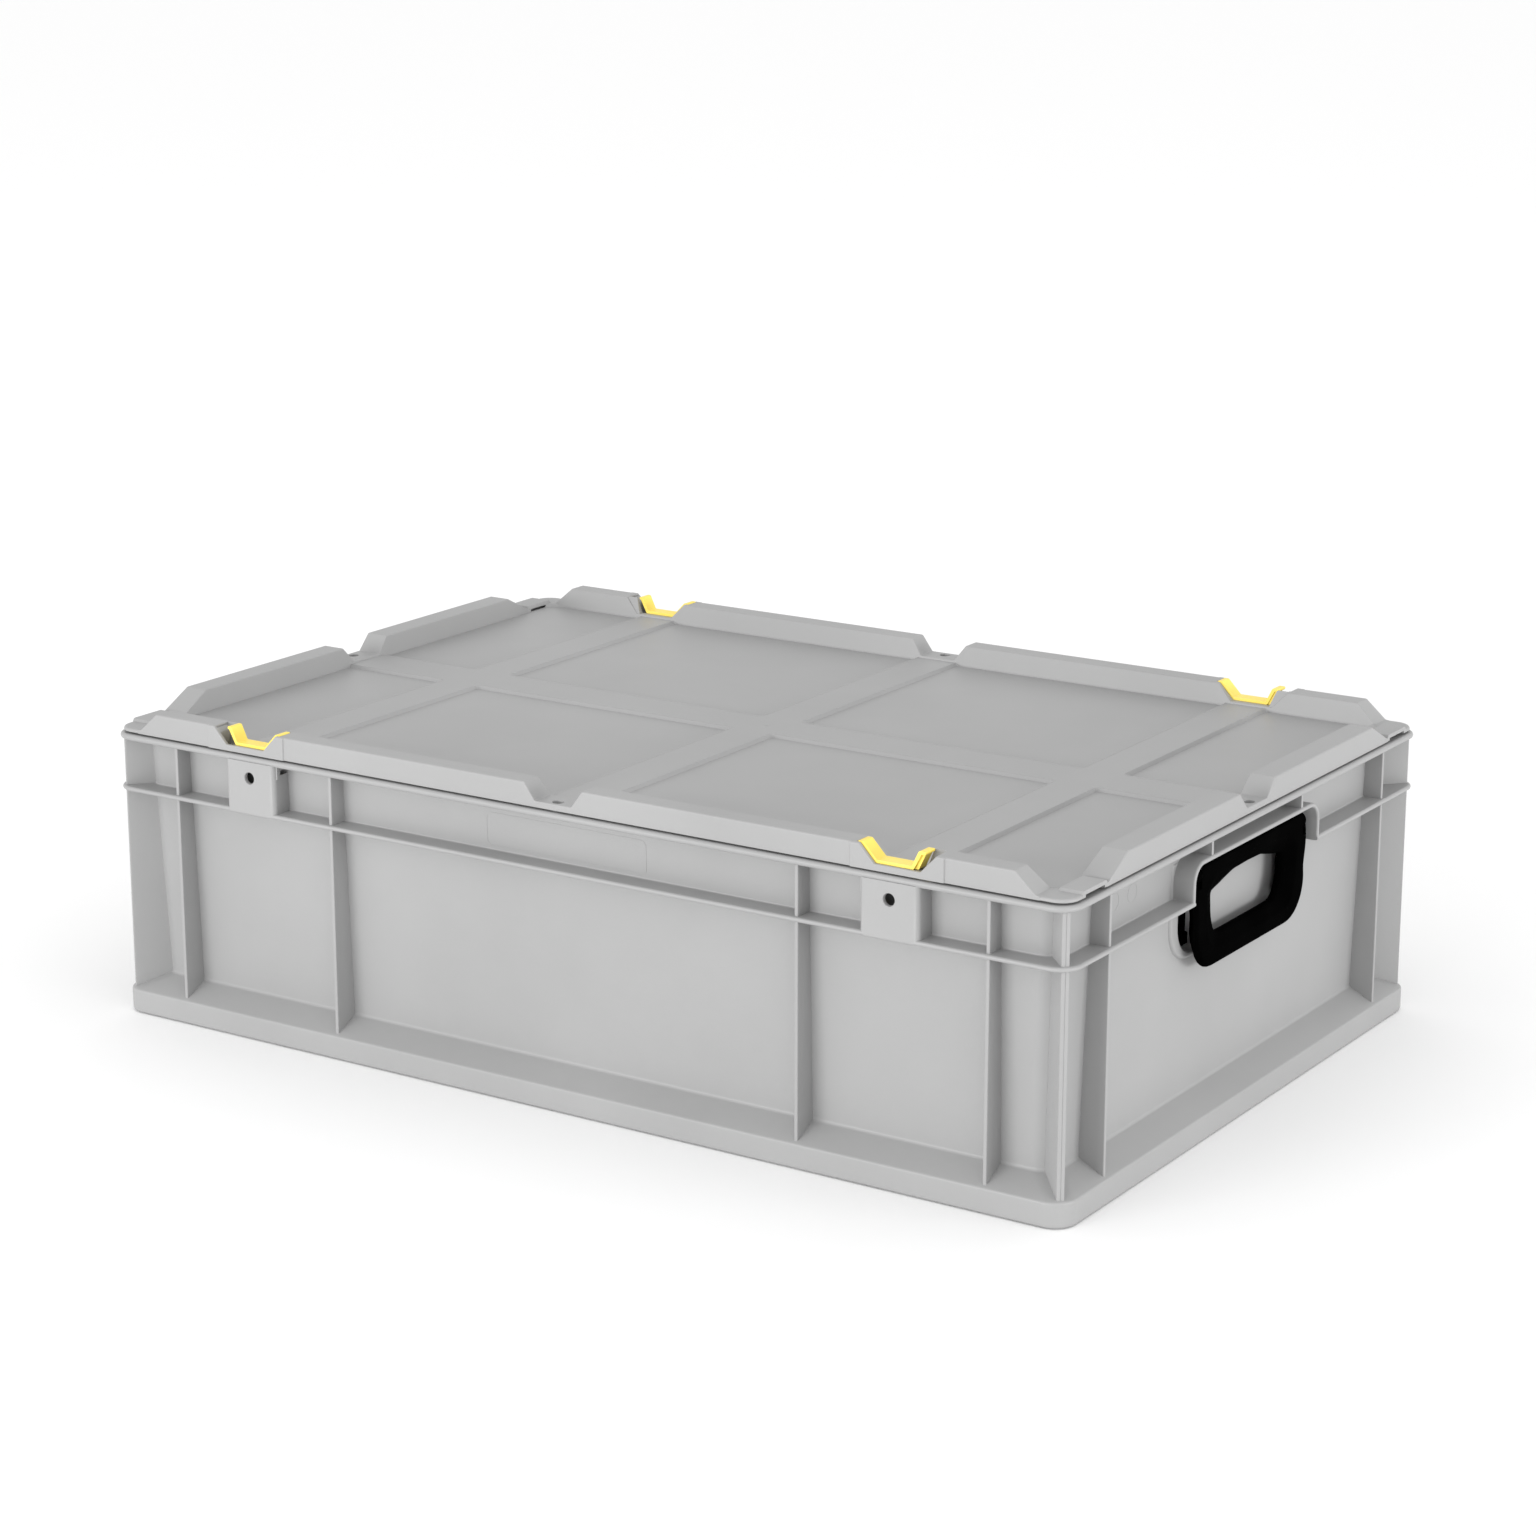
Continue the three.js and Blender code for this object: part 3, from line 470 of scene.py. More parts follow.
def boss_tab(sx, sy):
    """A small tab that hangs from the rim beside a boss, on the side of the middle."""
    near, far, back, front = BOSS_X[0] - 0.6, BOSS_X[0] + 1, 195.6, 197.6
    outline = [(sx * x, sy * y) for x, y in ((near, back), (far, back), (far, front), (near, front))]
    return prism("z", outline, 150.2, RIM_LOW + 0.4, 0.25)


def arch_rib(sx, sy):
    """A short rib between an arch and the rim."""
    near, far, low, high = sy * 50.6, sy * 52.6, 149, 158
    return prism("x", [(near, low), (far, low), (far, high), (near, high)], sx * (HX - 16), sx * (HX - 1))


def tray_rail(sy):
    """The ledge inside a long wall that carries the tray."""
    inner = HY - wall_inset(147) - WALL
    edge, root = inner - 5.5, inner + 1
    outline = [(root, 149), (edge + 0.5, 149), (edge, 148.6), (edge, 147.8), (edge + 0.5, 147.4), (root, 142)]
    return prism("x", [(sy * y, z) for y, z in outline], 24 - HX, HX - 24)


def base_webs():
    """Webs in the band's channel, one behind each rib, and ribs under the floor."""
    made = []
    low, high = 1.0, 12.0
    for sign in SIGNS:
        for x in (-RIB_X[1], -RIB_X[0], 0, *RIB_X):
            made.append(block((x - 1, sign * (HY - 14.5), low), (x + 1, sign * (HY - 1.5), high)))
        for y in (-RIB_Y, 0, RIB_Y):
            made.append(block((sign * (HX - 14.5), y - 1, low), (sign * (HX - 1.5), y + 1, high)))
    low, high = 0.8, 5
    for x in (-RIB_X[0], 0, RIB_X[0]):
        made.append(block((x - 1, 15 - HY, low), (x + 1, HY - 15, high)))
    for y in (-65, 65):
        made.append(block((15 - HX, y - 1, low), (HX - 15, y + 1, high)))
    return made


def ejector_ring(sx, y, z):
    """The faint witness of an ejector pin on a short wall."""
    rings = []
    for radius, depth in ((4.6, -0.6), (4.6, 0.07), (4.9, 0.07), (4.9, -0.6)):
        row = []
        for k in range(40):
            a = 2 * math.pi * k / 40
            height = z + radius * math.sin(a)
            row.append((sx * (HX - wall_inset(height) + depth), y + radius * math.cos(a), height))
        rings.append(row)
    return loft(rings, closed=True)


def rib_outline(root, edge):
    """A rib's section: (place across it, distance from the middle), a little thinner at its edge."""
    return rounded([(-1.25, root), (-1.05, edge), (1.05, edge), (1.25, root)], [0, 0.55, 0.55, 0], 3)


def upright_rib(x, sy):
    """An upright rib on a long wall."""
    outline = [(x + a, sy * b) for a, b in rib_outline(181, HY - RIB_BACK)]
    return prism("z", outline, BAND_TOP, RIM_LOW + 0.6)


def short_rib(sx, y):
    """An upright rib on a short wall."""
    outline = [(sx * b, y + a) for a, b in rib_outline(281, HX - RIB_BACK)]
    return prism("z", outline, BAND_TOP, RIM_LOW + 0.6)


def corner_rib(sx, sy):
    """A rib on the diagonal, with soft edges and a fine parting groove down its face."""
    reach, root, half = 10.2, -12.0, 2.0
    groove, deep = 0.22, 0.25
    section = rounded(
        [(root, -half), (reach, -half), (reach, -groove), (reach - deep, 0), (reach, groove), (reach, half),
         (root, half)],
        [0, 0.7, 0.05, 0.05, 0.05, 0.7, 0], 3)
    turn = math.atan2(sy, sx)
    cx, cy = sx * (HX - CORNER), sy * (HY - CORNER)
    outline = [
        (cx + t * math.cos(turn) - s * math.sin(turn), cy + t * math.sin(turn) + s * math.cos(turn))
        for t, s in section
    ]
    return prism("z", outline, BAND_TOP, RIM_LOW + 0.8)


def boss(sx, sy):
    """The block that a latch hooks into, its outer edges rounded."""
    inner, outer = BOSS_X
    root = HY - INSET_HIGH - 1
    outline = rounded([(inner, root), (outer, root), (outer, HY), (inner, HY)], [0, 0, 3, 3], 6)
    rings = []
    low = FLANGE[0]
    for shrink, z in ((0.8, low - 0.1), (0.2, low + 0.25), (0, low + 0.9), (0, RIM_LOW + 0.6)):
        middle = (inner + outer) / 2
        row = []
        for x, y in outline:
            share = (x - middle) / (outer - inner) * 2
            row.append((sx * (x - shrink * share), sy * (y - (shrink if y > root + 1 else 0)), z))
        rings.append(row)
    return loft(rings)


def arch(sx):
    """The web over a grip: it runs out of the flange on both sides and keeps the flange's round edge."""
    half, thick, top, run = 71.35, 1.2, 149.4, 14
    path = rounded(
        [(-half - run, MID_FLANGE), (-half, MID_FLANGE), (-half, top), (half, top), (half, MID_FLANGE),
         (half + run, MID_FLANGE)],
        [0, 1.6, 10.8, 10.8, 1.6, 0], 8, closed=False)
    section = [(-thick, HX - 15)] + [
        (thick * s, HX - 1.2 + 1.2 * c)
        for s, c in [(math.sin(math.radians(a)), math.cos(math.radians(a))) for a in range(-90, 91, 30)]
    ] + [(thick, HX - 15)]
    rings = []
    for i, (y, z) in enumerate(path):
        before, after = path[max(i - 1, 0)], path[min(i + 1, len(path) - 1)]
        along = Vector((after[0] - before[0], after[1] - before[1])).normalized()
        out = Vector((-along.y, along.x))
        rings.append([(sx * x, y + out.x * n, z + out.y * n) for n, x in section])
    return loft(rings)


def lip_ring(x, inset, top, steps=9):
    """The outline of the oval behind a grip, at a place along the box."""
    half, low = 74.5 - inset, 95.0 + inset
    radius = max(22.0 - inset, 3)
    return [(x, y, z) for y, z in box_outline(-half, low, half, top, [radius, radius, 2, 2], steps)]


def lip(sx):
    """The wall behind a grip stands forward in a soft-edged oval and back into the case."""
    rows = [
        (281.0, 1.2), (281.3, 0.5), (282.0, 0.0), (286.4, 0.0), (287.3, 0.35), (288.0, 1.1), (288.35, 2.0)]
    return loft([lip_ring(sx * x, inset, 148.8) for x, inset in rows])


def grip_recess(sx):
    """The floor behind a grip, wide rims at its sides and a narrow one below."""
    rows = [(0.0, 2.9), (0.25, 2.0), (0.9, 1.5), (4.1, 1.2), (4.6, 0.8), (4.9, 0.1), (8.5, 0.0)]
    rings = []
    for rise, inset in rows:
        half, low, radius = 67.0 - inset, 97.4 + inset, 17.0 - inset
        outline = box_outline(-half, low, half, RECESS_TOP, [radius, radius, 2, 2], 9)
        rings.append([(sx * (RECESS_FLOOR + rise), y, z) for y, z in outline])
    tools = [loft(rings)]
    for sy in SIGNS:
        tools.append(rod("x", (sx * RECESS_FLOOR, sy * SCREW[0], SCREW[1]), 1.9, 10, 20))
    return tools


def boss_pocket(sx, sy):
    """The hollow of a boss, its slots, its round hole and the gates for a latch's hooks."""
    def place(low, high):
        return block((sx * low[0], sy * low[1], low[2]), (sx * high[0], sy * high[1], high[2]))

    back, front = HY - INSET_HIGH + 0.3, HY - 2
    near, far = BOSS_X[0] + 2, BOSS_X[1] - 2
    tools = [
        place((near, back, 140), (far, front, RIM_LOW)),
        place((near, back, RIM_LOW - 1), (far, 194.6, RIM_TOP + 1)),
        place((near - 3.4, 188.3, 152.0), (near + 1, 194.2, 154.6)),
        turned("y", (sx * BOSS_HOLE[0], sy * (HY - 2.5), BOSS_HOLE[1]),
               [(-4 * sy, 3.1), (1.9 * sy, 3.1), (2.5 * sy, 3.45), (3.5 * sy, 3.6)], 32),
    ]
    for tooth in HOOK_X:
        gate = LATCH_MIDDLE + tooth + HOOK_WIDTH + 0.2
        tools.append(place((gate, back, RIM_LOW - 1), (gate + 4.2, 196.6, RIM_TOP + 1)))
    return tools


# ------------------------------------------------------------------ lid

_, (LX, LY, RIDGE_TOP) = span("lid")
LID_UNDER = 161.5
LID_TOP = 164.0
RIDGE_WIDTH = 11.0
RIDGE_FOOT = 14.0
UNDERCUT = 0.4  # how far the lid's outer edge stands off, for the dark line over the rim
NOTCH_FLOOR = 165.2
LATCH_FLOOR = 165.2
NOTCH = (191.8, 217.4)  # a latch's notch at its floor, and how far its sides lean out
NOTCH_LEAN = 8.8
HOUSING = (178.0, 230.5)  # the ridge stands a little forward here, round a latch
HOUSING_PROUD = 0.8


def ridge_section(height, out=0.0, wider=1.2):
    """Cross-section of a ridge of some height: (distance in from the lid's edge, z)."""
    rise = (height - LID_TOP) / (RIDGE_TOP - LID_TOP)
    root = RIDGE_FOOT + 0.4 * wider
    width = root + (RIDGE_WIDTH + wider - root) * rise
    soft = min(1.0, max(0.12, 0.45 * (height - LID_TOP)))
    foot, under = LID_TOP - 0.6, LID_UNDER + UNDERCUT
    corners = [(-out, under), (-out, height), (width, height), (root + 0.2, foot), (root + 0.2, under)]
    return rounded(corners, [0, soft, soft * 0.9, 0, 0], 4)


def mirrored(path, soft):
    """The whole of a line over the lid from its half on the low side."""
    return rounded(path + [(-a, z) for a, z in reversed(path)], soft + soft[::-1], 4, closed=False)


def long_rail(sy):
    """The ridge along a long side, with notches for the latches and one in the middle."""
    inner, outer = NOTCH
    line = mirrored(
        [(-282, LID_TOP - 0.2), (-280, LID_TOP), (-268.5, RIDGE_TOP), (-outer - NOTCH_LEAN, RIDGE_TOP),
         (-outer, LATCH_FLOOR), (-inner, LATCH_FLOOR), (NOTCH_LEAN - inner, RIDGE_TOP), (-18.2, RIDGE_TOP),
         (-11.4, NOTCH_FLOOR)],
        [0, 1.2, 1.6, 1.3, 0.9, 0.9, 1.3, 1.3, 0.9])
    ramp = 0.45
    stops = list(line)
    for edge in HOUSING:
        for s in SIGNS:
            for d in (-ramp, -0.2, 0.0, 0.2, ramp):
                stops.append((s * edge + d, RIDGE_TOP))
    stops.sort()
    rings = []
    for x, z in stops:
        inside = min(abs(x) - HOUSING[0], HOUSING[1] - abs(x))
        share = min(max((inside + ramp) / (2 * ramp), 0.0), 1.0)
        out = HOUSING_PROUD * math.sin(share * math.pi / 2)
        rings.append([(x, sy * (LY - d), zz) for d, zz in ridge_section(z, out)])
    return loft(rings)


def short_rail(sx):
    """The ridge along a short side, with a notch in the middle."""
    line = mirrored(
        [(-161.4, LID_TOP - 0.2), (-159.5, LID_TOP), (-140.0, RIDGE_TOP), (-20, RIDGE_TOP),
         (-11.4, NOTCH_FLOOR)],
        [0, 1.2, 1.6, 1.3, 0.9])
    return loft([[(sx * (LX - d), y, zz) for d, zz in ridge_section(z, wider=3.2)] for y, z in line])


PANELS = ((13, 189, 2.5), (213.5, 286.5, 14))  # from x, to x, radius of the corner nearest the lid's corner
PANEL_Y = (15, 184.5)


def panel_ring(sx, sy, inset, z, columns):
    """A panel's outline, drawn in by an inset."""
    x0, x1, far_round = columns
    radii = [max(r - inset, 0.4) for r in (2.5, 2.5, far_round, 2.5)]
    outline = box_outline(x0 + inset, PANEL_Y[0] + inset, x1 - inset, PANEL_Y[1] - inset, radii, 6)
    return [(sx * x, sy * y, z) for x, y in outline]


def panel(sx, sy, columns):
    """What is cut away for a sunk panel, with sloping sides and a soft upper edge."""
    depth, run = 1.7, 1.1
    rows = ((run, LID_TOP - depth), (0.16, LID_TOP - 0.22), (-0.16, LID_TOP + 0.03), (-0.2, LID_TOP + 1))
    return loft([panel_ring(sx, sy, inset, z, columns) for inset, z in rows])


def panel_bead(sx, sy, columns):
    """The low bead that stands round a panel."""
    low = LID_TOP - 0.4
    rows = ((0.4, low), (0.4, LID_TOP + 0.12), (-0.55, LID_TOP + 0.16), (-1.1, low))
    return loft([panel_ring(sx, sy, inset, z, columns) for inset, z in rows], closed=True)


def build_lid():
    """The lid: a plate with a locating lip, sunk panels, ridges and corner pads."""
    profile = [
        (24, LID_UNDER), (21, LID_UNDER), (21, 157.0), (20.5, 156.5), (19.5, 156.5), (19, 157.0),
        (19, LID_UNDER), (4.2, LID_UNDER), (3.2, LID_UNDER + 0.3), (2.3, LID_UNDER + UNDERCUT),
        (2, LID_UNDER + 0.7)]
    profile += arc((3.4, LID_TOP - 1.4), 1.4, 180, 90, 5) + [(8, LID_TOP)]
    body = loft([ring(inset, z) for inset, z in profile])
    places = [(sx, sy, columns) for sx, sy in CORNERS for columns in PANELS]
    body = join(body, *[panel_bead(*place) for place in places])
    body = cut(body, *[panel(*place) for place in places])
    parts = [long_rail(sy) for sy in SIGNS] + [short_rail(sx) for sx in SIGNS]
    for sx, sy in CORNERS:
        parts.append(back_wall(sx, sy))
        parts.append(corner_pad(sx, sy))
    parts.append(turned("z", (0, 0, LID_TOP), [(-0.5, 1.6), (0.1, 1.5), (0.28, 1.0)], 20))
    body = join(body, *parts)
    tools = []
    for sy in SIGNS:
        tools.append(lid_hole(0, sy * 193))
        tools += ridge_rooms(sy)
    for sx in SIGNS:
        tools.append(lid_hole(sx * 293, 0))
    for sx, sy in CORNERS:
        tools.append(short_room(sx, sy))
        tools += latch_room(sx, sy)
        tools.append(block((sx * 283.5, sy * 163.4, LID_UNDER - 1), (sx * (LX + 1.5), sy * 182.2, 163.5)))
    return cut(body, *tools)


def lid_hole(x, y):
    """A round hole in a middle notch, with a chamfer."""
    return turned("z", (x, y, NOTCH_FLOOR), [(-8, 3.0), (-0.5, 3.0), (0, 3.3), (2, 3.4)], 32)


def corner_pad(sx, sy):
    """The raised pad beside a corner, open below towards the outside."""
    rows = []
    for grow, z in ((0.9, 162.2), (0.9, LID_TOP - 0.05), (0.1, 165.15), (-0.25, 165.45), (-0.9, 165.55)):
        outline = box_outline(285 - grow, 161.5 - grow, LX, 184 + grow, [0.6, 0.3, 0.3, 0.6], 3)
        rows.append([(sx * x, sy * y, z) for x, y in outline])
    return loft(rows)


SKIN = 2.3  # what is left round the hollows in the ridges


def ridge_room(low, high, edge):
    """A hollow in a ridge, open below: (place along it, place across, z)."""
    rows = []
    for grow, z in ((1.6, LID_UNDER - 1), (0.0, RIDGE_TOP - SKIN)):
        near, far = edge - SKIN, edge - RIDGE_WIDTH + SKIN - grow * 0.9
        rows.append([(a, b, z) for a, b in ((low - grow, near), (high + grow, near), (high + grow, far),
                                            (low - grow, far))])
    return rows


def ridge_rooms(sy):
    """The hollows in the ridge of a long side."""
    made = []
    for low, high in ((20.5, 181.5), (229.5, 267.5)):
        for sx in SIGNS:
            made.append(loft([[(sx * a, sy * b, z) for a, b, z in row] for row in ridge_room(low, high, LY)]))
    return made


def short_room(sx, sy):
    """A hollow in the ridge of a short side."""
    return loft([[(sx * b, sy * a, z) for a, b, z in row] for row in ridge_room(21, 137, LX)])


def back_wall(sx, sy):
    """The ridge's back wall stays up behind a latch, close round its outline."""
    low = LATCH_FLOOR - 1
    outline = rounded([(215.0, low), (219.0, RIDGE_TOP), (229, RIDGE_TOP), (229, low)], [0, 1.0, 0, 0], 4)
    front = [(sx * x, sy * (LY - RIDGE_FOOT + 5.0), z) for x, z in outline]
    back = [(sx * x, sy * (LY - RIDGE_WIDTH - (RIDGE_TOP - z) * 0.285), z) for x, z in outline]
    return loft([front, back])


def latch_room(sx, sy):
    """What a latch sweeps as it slides, between the ridge's front and back walls."""
    middle, front, back = LATCH_MIDDLE, 197.1, 187.6
    lip_under = LATCH_TOP - LATCH_SHEET - 0.25
    base = LATCH_FLOOR - 0.45
    outline = [(-12.1, base), (15.8, base), (21.0, lip_under), (22.4, lip_under), (22.4, 180), (-22.3, 180),
               (-22.3, lip_under), (-20.6, lip_under)]
    tools = [prism("y", [(sx * (middle + x), z) for x, z in outline], sy * front, sy * back)]
    deep = [(11.5, 158), (19.5, 158), (19.5, 174), (13.2, 174)]
    tools.append(prism("y", [(sx * (middle + x), z) for x, z in deep], sy * front, sy * 189.4))
    tools.append(block((sx * (middle - 8.1), sy * 189.7, 158), (sx * (middle + 12.3), sy * 193.2, 166)))
    return tools


# ------------------------------------------------------------------ latches

LATCH_FACE = (196.7, 187.9)
HINGE = (199.2, 161.2)  # |y| and z of the rim's edge that the lid turns about


def build_latch(sx, sy):
    """A latch: a folded sheet with a grooved floor, a long and a short lip, and two hooks."""
    name = f"latch_{Y_NAMES[sy]}_{X_NAMES[sx]}"
    middle, top, base = LATCH_MIDDLE, LATCH_TOP, LATCH_FLOOR - 0.1
    under = top - LATCH_SHEET
    front, back = LATCH_FACE
    tip = 16.1 if sx > 0 else 14.6
    upper = base + 1.7
    sheet = [
        (-11.9, base), (9.3, base), (13.7, under), (tip, under), (tip, top), (12.2, top), (8.3, upper),
        (-11.2, upper), (-19.0, top), (-21.9, top), (-21.9, under), (-20.4, under)]
    soft = [0.9, 0.9, 0.4, 0.5, 0.6, 1.1, 1.0, 1.0, 1.1, 0.7, 0.5, 0.8]
    outline = [(middle + x, z) for x, z in rounded(sheet, soft, 4)]
    body = prism("y", outline, -front, -back, 0.22)
    parts = []
    if sx > 0:
        gusset = [(7.5, base + 0.1), (11.4, base + 0.1), (15.4, under + 0.3), (12.2, under + 0.3)]
        outline = [(middle + x, z) for x, z in rounded(gusset, [0, 0.5, 0.5, 0], 3)]
        parts.append(prism("y", outline, -front + 1.5, -back - 0.8))
    parts += [hook(middle + tooth, base) for tooth in HOOK_X]
    body = join(body, *parts)
    grooves = []
    for y in (193.0, 191.4, 189.8):
        grooves.append(prism("x", [(-y - 0.28, base + 2.3), (-y + 0.28, base + 2.3), (-y, base + 1.38)],
                             middle - 9.6, middle + 6.9))
    body = cut(body, *grooves)
    if sx < 0 or sy > 0:
        flip(body, sx, -sy)
    return finish_piece(body, name + "_skin", name, LATCH, "latch", name)


def hook(start, base):
    """A hook whose arc is about the rim's outer edge."""
    y, z = HINGE
    inner, outer = 6.5, 9
    turns = [math.radians(-13 * k) for k in range(6)]
    outline = [(y - outer, base + 0.8)]
    outline += [(y - outer * math.cos(a), z + outer * math.sin(a)) for a in turns]
    outline += [(y - inner * math.cos(a), z + inner * math.sin(a)) for a in reversed(turns)]
    outline.append((y - inner, base + 0.8))
    return prism("x", [(-a, b) for a, b in outline], start, start + HOOK_WIDTH, 0.3)


# ------------------------------------------------------------------ grips

(GX0, _, GZ0), (GX1, GY, GZ1) = span("grip_right")
PIVOT = (292.5, 141)  # x and z of the pins
PIN_HOLE = 2.3
MOUNT_BACK, MOUNT_FRONT = 283.8, 286.3
ARM_OUTSIDE = 61.5
LOOP_MIDDLE = 118  # the ring's two outlines are matched by angle about this height


def build_grip(sx):
    """A grip: one section carried round between the window's outline and the outer one."""
    side = X_NAMES[sx]
    section = grip_section()
    rings = []
    for outside, window in zip(*grip_outlines()):
        o, w = Vector(outside), Vector(window)
        row = []
        for share, x in section:
            p = w + (o - w) * share
            row.append((x, p.x, p.y))
        rings.append(row)
    body = loft(rings, closed=True)
    ear_low = PIVOT[1] - 6.8
    tools = []
    for sy in SIGNS:
        tools.append(block((GX0 - 1, sy * 58.2, ear_low), (GX1 + 1, sy * 62.0, GZ1 + 1)))
        tools.append(rod("y", (PIVOT[0], sy * 57, PIVOT[1]), PIN_HOLE, 20, 24))
    body = cut(body, *tools)
    if sx < 0:
        flip(body, -1, 1)
    return finish_piece(body, f"grip_{side}_ring", f"grip_{side}", GRIP, "grip", f"grip_{side}", angle=40)


def grip_section():
    """Section of the ring: (share of the way from the window to the outside, x). Its front falls away towards
    the window, and its outside leans back under a nose near the front."""
    corners = [(0.03, GX0 + 0.6), (0.2, GX0), (0.66, GX0), (1.0, GX1 - 2.2), (0.9, GX1), (0.46, GX1 - 0.1),
               (0.04, GX1 - 3.4), (0.0, GX1 - 5.2)]
    wide = 16.0
    scaled = [(share * wide, x) for share, x in corners]
    return [(a / wide, x) for a, x in rounded(scaled, [1.5, 1.5, 2.5, 1.0, 1.6, 3.0, 1.6, 1.2], 4)]


def grip_outlines():
    """Matching points on the outside of a grip and on its window, going round from the top middle."""
    half, low, high = GY, GZ0, GZ1
    out = rounded(
        [(0, high), (half, high), (half, 128), (half - 2.2, 117), (half - 1.4, 112)], [0, 12, 14, 12, 0], 10,
        closed=False)
    turn, steps = 21.0, 12
    for k in range(steps + 1):
        a = math.pi / 2 * k / steps
        out.append((half - 1.2 - turn + turn * math.cos(a), low + turn - turn * math.sin(a)))
    out.append((0, low))
    win = rounded(
        [(0, 133.6), (16, 133.2), (30, 129.8), (40.8, 128.2), (39.8, 116), (35.2, 104.6), (0, 104.6)],
        [0, 26, 20, 2.5, 20, 14, 0], 10, closed=False)
    stops = 64
    halves = [spaced(path, stops) for path in (out, win)]
    return [points + [(-y, z) for y, z in reversed(points[1:-1])] for points in halves]


def spaced(path, stops):
    """Points on half a loop at equal angles about its middle, so that two loops match up."""
    points = [Vector(p) for p in path]
    centre = Vector((0, LOOP_MIDDLE))
    made = [tuple(points[0])]
    for k in range(1, stops - 1):
        a = math.pi / 2 - math.pi * k / (stops - 1)
        ray = Vector((math.cos(a) * 90, math.sin(a) * 45))
        best = None
        for p, q in zip(points, points[1:]):
            edge = q - p
            cross = ray.x * edge.y - ray.y * edge.x
            if abs(cross) < 1e-9:
                continue
            off = p - centre
            t = (off.x * edge.y - off.y * edge.x) / cross
            u = (off.x * ray.y - off.y * ray.x) / cross
            if t > 0 and -1e-6 <= u <= 1 + 1e-6 and (best is None or t < best):
                best = t
        made.append(tuple(centre + ray * best))
    return made + [tuple(points[-1])]


def build_mount(sx):
    """The bracket behind a grip: a bridge with an arm, a foot and an ear on each side."""
    side = X_NAMES[sx]
    back, front = MOUNT_BACK, MOUNT_FRONT
    body = block((back, -ARM_OUTSIDE, 137.6), (front, ARM_OUTSIDE, 146.4), 0.4)
    parts = []
    ear_round = 4.6
    x, z = PIVOT
    ear = [(back, z - ear_round), (x, z - ear_round)]
    ear += [(x + ear_round * math.sin(a), z - ear_round * math.cos(a)) for a in
            [math.radians(15 * k) for k in range(1, 12)]]
    ear += [(x, z + ear_round), (back, 144)]
    for sy in SIGNS:
        parts.append(block((back, sy * 54, 104), (front, sy * ARM_OUTSIDE, 139), 0.4))
        parts.append(block((back, sy * 52, 102.8), (front + 0.6, sy * 58.5, 109), 0.6))
        parts.append(prism("y", ear, sy * 58.5, sy * 61.7, 0.35))
    body = join(body, *parts)
    tools = []
    for sy in SIGNS:
        tools.append(rod("y", (PIVOT[0], sy * 57, PIVOT[1]), PIN_HOLE, 20, 24))
        tools.append(rod("x", (280, sy * SCREW[0], SCREW[1]), 1.5, 12, 20))
    body = cut(body, *tools)
    if sx < 0:
        flip(body, -1, 1)
    name = f"grip_mount_{side}"
    return finish_piece(body, name + "_skin", "box", GRIP, "grip", name)


def build_hardware():
    """The grips' pins and screws."""
    for sx, sy in CORNERS:
        tag = f"{X_NAMES[sx]}_{Y_NAMES[sy]}"
        (x0, y0, z0), (x1, y1, z1) = span(f"grip_pin_{tag}")
        centre = ((x0 + x1) / 2, (y0 + y1) / 2, (z0 + z1) / 2)
        pin = rod("y", centre, (z1 - z0) / 2, y1 - y0, 28, 0.5)
        finish_piece(pin, f"pin_{tag}", "box", STEEL, "steel", f"grip_pin_{tag}")
        (x0, y0, z0), (x1, y1, z1) = span(f"grip_screw_{tag}")
        inside, y, z = x0 if sx > 0 else x1, (y0 + y1) / 2, (z0 + z1) / 2
        head = [(0.0, 2.6), (0.25, 3.3), (0.8, 3.8), (1.5, 4.0), (2.2, 4.0)]
        shank = [(2.25, 1.2), (6.4, 1.2), (7.1, 0.5)]
        screw = turned("x", (inside, y, z), [(sx * a, r) for a, r in head + shank], 32)
        start, end, long, short = inside - sx, inside + sx * 1.1, 2, 0.5
        cut(screw, block((start, y - long, z - short), (end, y + long, z + short)),
            block((start, y - short, z - long), (end, y + short, z + long)))
        finish_piece(screw, f"screw_{tag}", "box", STEEL, "steel", f"grip_screw_{tag}")


# ------------------------------------------------------------------ tray

DIVIDERS = ("tray_divider_long", "tray_divider_cross_1", "tray_divider_cross_2")
GUIDE_ROOM = 1.3  # from a divider's middle to the guides on each side


